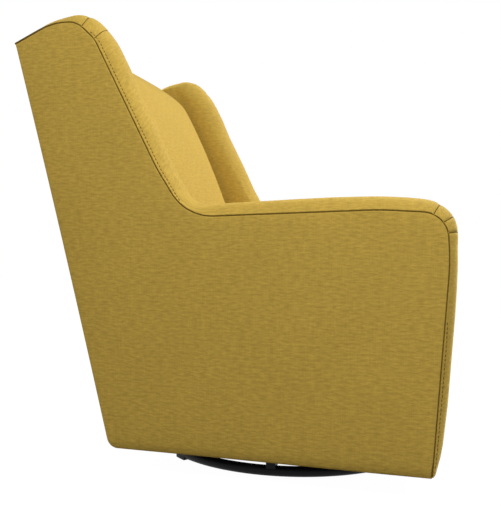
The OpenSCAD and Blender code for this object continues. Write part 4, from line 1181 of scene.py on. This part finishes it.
def outside_back():
    """Padded panel that closes the back between the sides."""
    low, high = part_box("outside_back")
    piece = copied_solid("outside_back", "outside_back_cover")
    cut_all(piece, ((0, np.arange(-0.35, 0.351, 0.025)), (2, np.arange(0.075, 0.93, 0.025))), flatten=True)
    co = coordinates(piece)
    rear = behind_back(co) > -0.002
    room = np.minimum(high.x - np.abs(co[:, 0]), np.minimum(co[:, 2] - low.z, high.z - co[:, 2]))
    room = np.maximum(room, 0)
    swell = 0.0035 * risen(room, 0.05) - 0.0022 * hump(room, 0.0025)
    set_coordinates(piece, co + np.outer(swell * rear, BACK_OUT))
    shade(piece, 40)
    panel_uv(piece, (1, 0, 0), BACK_UP)
    give(piece, woven_cover)
    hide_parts("outside_back")
    back_edge_sewing(high.x)


def back_edge_sewing(half):
    """Seam cord round the outside back and a row of hand stitches along both of its upright edges. The cords carry
    the dark painted seam shade.
    """
    foot, length = np.array([0, *BACK_FOOT]), math.dist(BACK_FOOT, BACK_TOP)
    pitch, stitch, thread = 0.011, 0.0062, 0.0007
    for sign, name in SIDE_NAMES.items():
        edge = foot + np.array([sign * (half - 0.0006), 0, 0]) - BACK_OUT * 0.0026
        tube(f"back_seam_{name}", [edge + BACK_UP * at for at in np.linspace(0, length, 61)], BACK_CORD, sides=6)
        beside = foot + np.array([sign * (half - 0.0072), 0, 0]) + BACK_OUT * 0.0004
        starts = [beside + BACK_UP * (0.012 + pitch * i) for i in range(int((length - 0.02) / pitch))]
        stitch_row(f"back_stitches_{name}", [(start, start + BACK_UP * stitch, BACK_OUT) for start in starts], thread)
    top = BACK_HEAD + BACK_UP * 0.0006 - BACK_OUT * 0.0030
    row = [top + np.array([x, 0, 0]) for x in np.linspace(half - 0.002, 0.002 - half, 48)]
    tube("back_seam_top", row, BACK_CORD, sides=6)


def seat_deck():
    """Felt pad over the springs: its edges are pressed round and its faces are a little uneven."""
    low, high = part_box("seat_deck")
    piece = copied_solid("seat_deck", "seat_deck_felt")
    in_edit_mode(piece, (bpy.ops.mesh.tris_convert_to_quads, {}),
                 (bpy.ops.mesh.bevel, {"offset": 0.0035, "segments": 3, "profile": 0.6}))
    cut_all(piece, ((0, np.arange(-0.26, 0.261, 0.020)), (1, np.arange(-0.39, 0.19, 0.020))))
    co = coordinates(piece)
    wave = 0.5 + 0.5 * uneven(co[:, 0], co[:, 1], (71, 0.4), (53, 1.1))
    co[:, 2] -= np.where(co[:, 2] > (low.z + high.z) / 2, 1, -0.3) * 0.0009 * wave
    set_coordinates(piece, co)
    shade(piece, 50)
    give(piece, pressed_felt)
    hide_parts("seat_deck")


def strap_section(half, thick):
    """Closed cross-section of a strap as width and height: rounded edges and two ribbed faces."""
    section, ribbed = [], 0.94
    for sign in (1, -1):
        for t in np.linspace(-1, 1, 15):
            edge = 1 - 0.45 * max(0.0, abs(t) - ribbed) / (1 - ribbed)
            relief = 0.00022 * (1 - abs(math.cos(t * 20))) * (abs(t) < ribbed)
            section.append((sign * t * half, sign * (thick / 2 * edge - relief)))
    return section


def back_webbing():
    """Five woven straps down the back, each with ribbed faces, pinched ends and eight staples at each rail."""
    co = coordinates(frame["nodes"]["back_webbing"])
    behind, along = behind_back(co), (co - BACK_HEAD) @ BACK_UP
    front, rear, foot, head = behind.min(), behind.max(), along.min(), along.max()
    edges = sorted(set(np.round(co[:, 0], 4)))
    count, leg = 90, np.array([0.0045, 0, 0])
    staples = []
    for number, (left, right) in enumerate(zip(edges[0::2], edges[1::2]), 1):
        middle = BACK_HEAD + np.array([(left + right) / 2, 0, 0])
        section = strap_section((right - left) / 2, rear - front)
        rings, flat = [], []
        for i in range(count + 1):
            place = blend(foot, head, i / count)
            end = min(i, count - i) * (head - foot) / count
            pinch = 1 - 0.10 * hump(end, 0.006) - 0.14 * hump(end - 0.030, 0.0035)
            centre = middle + BACK_UP * place + BACK_OUT * (rear + front) / 2
            rings.append([tuple(centre + np.array([u, 0, 0]) + BACK_OUT * (w * pinch)) for u, w in section])
            flat += [(u, place) for u, _ in section]
        strap = new_piece(f"back_strap_{number}", *ringed(rings, capped=True), uv=flat)
        face_outwards(strap)
        shade(strap, 40)
        give(strap, jute_strap)
        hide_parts("back_webbing")
        for end in (foot + 0.012, foot + 0.021, head - 0.012, head - 0.021):
            for u in (-0.018, -0.006, 0.006, 0.018):
                crown = middle + np.array([u, 0, 0]) + BACK_UP * end + BACK_OUT * (front + 0.00022)
                staples.append((crown - leg, crown + leg, -BACK_OUT))
    stitch_row("strap_staples", staples, 0.00035, zinc_plate)


def dust_cover():
    """Thin cloth stapled under the seat, drawn tight round an opening for the mechanism."""
    low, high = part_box("dust_cover")
    co = coordinates(frame["nodes"]["dust_cover"])
    inside = co[np.abs(co[:, 0]) < high.x - 0.001]
    open_x, open_low, open_high = inside[:, 0].max(), inside[:, 1].min(), inside[:, 1].max()

    def spread(*edges):
        """Places over a width, between its edges and those of its opening."""
        parts = [np.linspace(start, end, count + 1) for start, end, count in zip(edges, edges[1:], (12, 26, 12))]
        return np.unique(np.round(np.concatenate(parts), 6))

    def height(x, y):
        """Height of the cloth, which sags where nothing holds it and is drawn up round its opening."""
        outer = min(x - low.x, high.x - x, y - low.y, high.y - y)
        gap = max(abs(x) - open_x, open_low - y, y - open_high, 0)
        pull = 0.0004 * math.sin(x * 120) * (1 - risen(gap, 0.012))
        sag = 0.0026 * (1 - 0.45 * risen(gap, 0.05)) + pull
        return high.z - 0.0008 - sag * risen(max(outer, 0), 0.03)

    xs, ys = spread(low.x, -open_x, open_x, high.x), spread(low.y, open_low, open_high, high.y)
    bm = bmesh.new()
    grid = [[bm.verts.new((x, y, height(x, y))) for y in ys] for x in xs]
    for i in range(len(xs) - 1):
        for j in range(len(ys) - 1):
            x, y = (xs[i] + xs[i + 1]) / 2, (ys[j] + ys[j + 1]) / 2
            if abs(x) > open_x or not open_low < y < open_high:
                bm.faces.new((grid[i][j], grid[i + 1][j], grid[i + 1][j + 1], grid[i][j + 1]))
    bmesh.ops.delete(bm, geom=[v for v in bm.verts if not v.link_faces], context="VERTS")
    piece = new_piece("dust_cover_cloth", [], [])
    bm.to_mesh(piece.data)
    bm.free()
    modified(piece, "SOLIDIFY", thickness=0.0006, offset=0)
    face_outwards(piece)
    shade(piece, 60)
    give(piece, dust_cloth)
    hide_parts("dust_cover")

    def hem(name, half_x, y_low, y_high, inwards):
        places = []
        corners = [(-half_x, y_low), (half_x, y_low), (half_x, y_high), (-half_x, y_high)]
        for (ax, ay), (bx, by) in zip(corners, corners[1:] + corners[:1]):
            for t in np.linspace(0, 1, 40, endpoint=False):
                x, y = blend(ax, bx, t), blend(ay, by, t)
                x -= math.copysign(inwards, x) * (abs(x) > half_x - 0.0001)
                y += inwards * (float(y < y_low + 0.0001) - float(y > y_high - 0.0001))
                places.append((x, y, height(x, y)))
        return tube(name, places, 0.0009, closed=True, sides=6, finish=dust_cloth)

    hems = [hem("dust_cover_outer_hem", high.x, low.y, high.y, 0.0012),
            hem("dust_cover_opening_hem", open_x, open_low, open_high, -0.0010)]
    inset, leg, pitch = 0.006, 0.005, 0.040
    held = [(x, y, leg, 0) for x in np.arange(-0.32, 0.321, pitch) for y in (low.y + inset, high.y - inset)]
    held += [(x, y, 0, leg) for y in np.arange(low.y + 0.035, high.y - 0.02, pitch)
             for x in (low.x + inset, high.x - inset)]
    staples = []
    for x, y, dx, dy in held:
        z = height(x, y) - 0.0004
        staples.append(((x - dx, y - dy, z), (x + dx, y + dy, z), (0, 0, -1)))
    row = stitch_row("dust_cover_staples", staples, 0.00045, zinc_plate)


# ---------------------------------------------------------------- stage

# Where the photograph was taken from, its focal length and longer side in pixels, and the sensor in millimetres
CAMERA_PLACE = Vector((-1.75580, -0.47308, 0.47086))
CAMERA_YAW, CAMERA_PITCH, CAMERA_ROLL = math.radians(16.100), math.radians(0.162), math.radians(0.606)
FOCAL_PIXELS, PHOTO_PIXELS, SENSOR = 717.04, 506, 36
# The floor's own grey, its glow where it is seen directly, and that glow's share, which leaves some shadow
FLOOR_GREY, FLOOR_GLOW, GLOW_SHARE = 0.26, 1.12, 0.88
# Lamps by name: place, target, size and the setting that holds the power
LAMPS = {
    "key lamp": ((1.8, -1.1, 2.3), (0, 0, 0.55), 1.4, "key_power"),
    "fill lamp": ((-1.5, -0.64, 1.98), (-0.3, 0, 0.6), 0.9, "fill_power"),
    "rear lamp": ((0.9, 2.4, 1.5), (0, 0.2, 0.55), 1.4, "rear_power"),
}


def place_camera():
    data = bpy.data.cameras.new("photo camera")
    data.sensor_width = SENSOR
    data.lens = FOCAL_PIXELS * SENSOR / PHOTO_PIXELS
    camera = linked("photo camera", data)
    forward = Vector((math.cos(CAMERA_PITCH) * math.cos(CAMERA_YAW),
                      math.cos(CAMERA_PITCH) * math.sin(CAMERA_YAW), -math.sin(CAMERA_PITCH)))
    right = forward.cross(Vector((0, 0, 1))).normalized()
    up = right.cross(forward)
    turned_right = right * math.cos(CAMERA_ROLL) + up * math.sin(CAMERA_ROLL)
    turned_up = up * math.cos(CAMERA_ROLL) - right * math.sin(CAMERA_ROLL)
    turn = Matrix((turned_right, turned_up, -forward)).transposed().to_4x4()
    camera.matrix_world = Matrix.Translation(CAMERA_PLACE) @ turn
    bpy.context.scene.camera = camera


def lamp(name, place, target, size, power):
    data = bpy.data.lights.new(name, "AREA")
    data.shape = "DISK"
    data.size, data.energy = size, power
    made = linked(name, data)
    made.location = place
    made.rotation_euler = (Vector(target) - Vector(place)).to_track_quat("-Z", "Y").to_euler()


def set_world(strength):
    """Even room light, white where it is seen directly."""
    n = Nodes("pale studio", "worlds")
    bpy.context.scene.world = n.owner
    light = n.tree.nodes["Background"].inputs
    n.feed(light["Color"], (1, 1, 1))
    n.feed(light["Strength"], n.remap(n.seen_directly(), 0, 1, strength, 1.0))


def pale_floor():
    """Floor that looks white and keeps the chair's shadow."""
    bpy.ops.object.select_all(action="DESELECT")
    bpy.ops.mesh.primitive_plane_add(size=16, location=(0, 0, 0))
    floor = bpy.context.active_object
    floor.name = "floor"
    n = Nodes("pale floor")
    n.feed(n.shader.inputs["Base Color"], (FLOOR_GREY, FLOOR_GREY, FLOOR_GREY))
    n.feed(n.shader.inputs["Roughness"], 0.9)
    glow = n.add("ShaderNodeEmission")
    n.feed(glow.inputs["Color"], (1, 1, 1))
    n.feed(glow.inputs["Strength"], FLOOR_GLOW)
    mixed = n.add("ShaderNodeMixShader")
    n.feed(mixed.inputs["Fac"], n.math("MULTIPLY", n.seen_directly(), GLOW_SHARE))
    n.feed(mixed.inputs[1], n.shader.outputs[0])
    n.feed(mixed.inputs[2], glow.outputs[0])
    n.feed(n.tree.nodes["Material Output"].inputs["Surface"], mixed.outputs[0])
    floor.data.materials.append(n.owner)


# ---------------------------------------------------------------- operators


class GLIDER_OT_camera(bpy.types.Operator):
    """Stand the camera where the photograph was taken from"""

    bl_idname = "glider.camera"
    bl_label = "Camera"

    def execute(self, context):
        place_camera()
        return {"FINISHED"}


class GLIDER_OT_stage(bpy.types.Operator):
    """Pale floor, soft lamps and even room light"""

    bl_idname = "glider.stage"
    bl_label = "Studio"

    def execute(self, context):
        stage = context.scene.glider_stage
        context.scene.view_settings.view_transform = "Standard"
        set_world(stage.room_light)
        pale_floor()
        for name, (place, target, size, power) in LAMPS.items():
            lamp(name, place, target, size, getattr(stage, power))
        return {"FINISHED"}


class GLIDER_OT_sides(bpy.types.Operator):
    """Outer panels, edge covers with their inner faces, and their sewing on both sides"""

    bl_idname = "glider.sides"
    bl_label = "Upholstered sides"

    def execute(self, context):
        for sign in SIDE_NAMES:
            side_panel(sign)
            side_cover(sign)
            front_return(sign)
            band_sewing(sign)
        return {"FINISHED"}


class GLIDER_OT_back(bpy.types.Operator):
    """Inside back, the straps behind it and the outside back"""

    bl_idname = "glider.back"
    bl_label = "Upholstered back"

    def execute(self, context):
        inside_back()
        back_webbing()
        outside_back()
        return {"FINISHED"}


class GLIDER_OT_seat(bpy.types.Operator):
    """Seat cushion, the front border under it, the felt deck and the dust cover"""

    bl_idname = "glider.seat"
    bl_label = "Upholstered seat"

    def execute(self, context):
        seat_cushion()
        front_border()
        seat_deck()
        dust_cover()
        return {"FINISHED"}


class GLIDER_OT_finishes(bpy.types.Operator):
    """Finishes of the frame, the springs, the glide mechanism and the floor base"""

    bl_idname = "glider.finishes"
    bl_label = "Frame and base finishes"

    def execute(self, context):
        for part in frame["record"]["subparts"]:
            finish = SLOT_FINISHES.get(part["material_slot"])
            if finish:
                give(frame["nodes"][part["node"]], finish)
        return {"FINISHED"}


class GLIDER_PT_panel(bpy.types.Panel):
    """Settings and steps of the glider chair"""

    bl_label = "Swivel glider chair"
    bl_idname = "GLIDER_PT_panel"
    bl_space_type = "VIEW_3D"
    bl_region_type = "UI"
    bl_category = "Glider"

    def draw(self, context):
        for group in GROUPS:
            box = self.layout.box()
            settings = getattr(context.scene, group)
            for name in settings.bl_rna.properties.keys():
                if name not in ("rna_type", "name"):
                    box.prop(settings, name)
        for step in STEPS:
            self.layout.operator(step)


GROUPS = {
    "glider_fabric": GliderFabric,
    "glider_sewing": GliderSewing,
    "glider_padding": GliderPadding,
    "glider_stage": GliderStage,
}
STEPS = ("glider.camera", "glider.stage", "glider.sides", "glider.back", "glider.seat", "glider.finishes")
CLASSES = (*GROUPS.values(), GLIDER_OT_camera, GLIDER_OT_stage, GLIDER_OT_sides, GLIDER_OT_back,
           GLIDER_OT_seat, GLIDER_OT_finishes, GLIDER_PT_panel)


def register():
    for cls in CLASSES:
        bpy.utils.register_class(cls)
    for name, group in GROUPS.items():
        setattr(bpy.types.Scene, name, PointerProperty(type=group))


def unregister():
    for name in GROUPS:
        delattr(bpy.types.Scene, name)
    for cls in reversed(CLASSES):
        bpy.utils.unregister_class(cls)


def main():
    register()
    for step in STEPS:
        group, name = step.split(".")
        getattr(getattr(bpy.ops, group), name)()


if __name__ == "__main__":
    main()
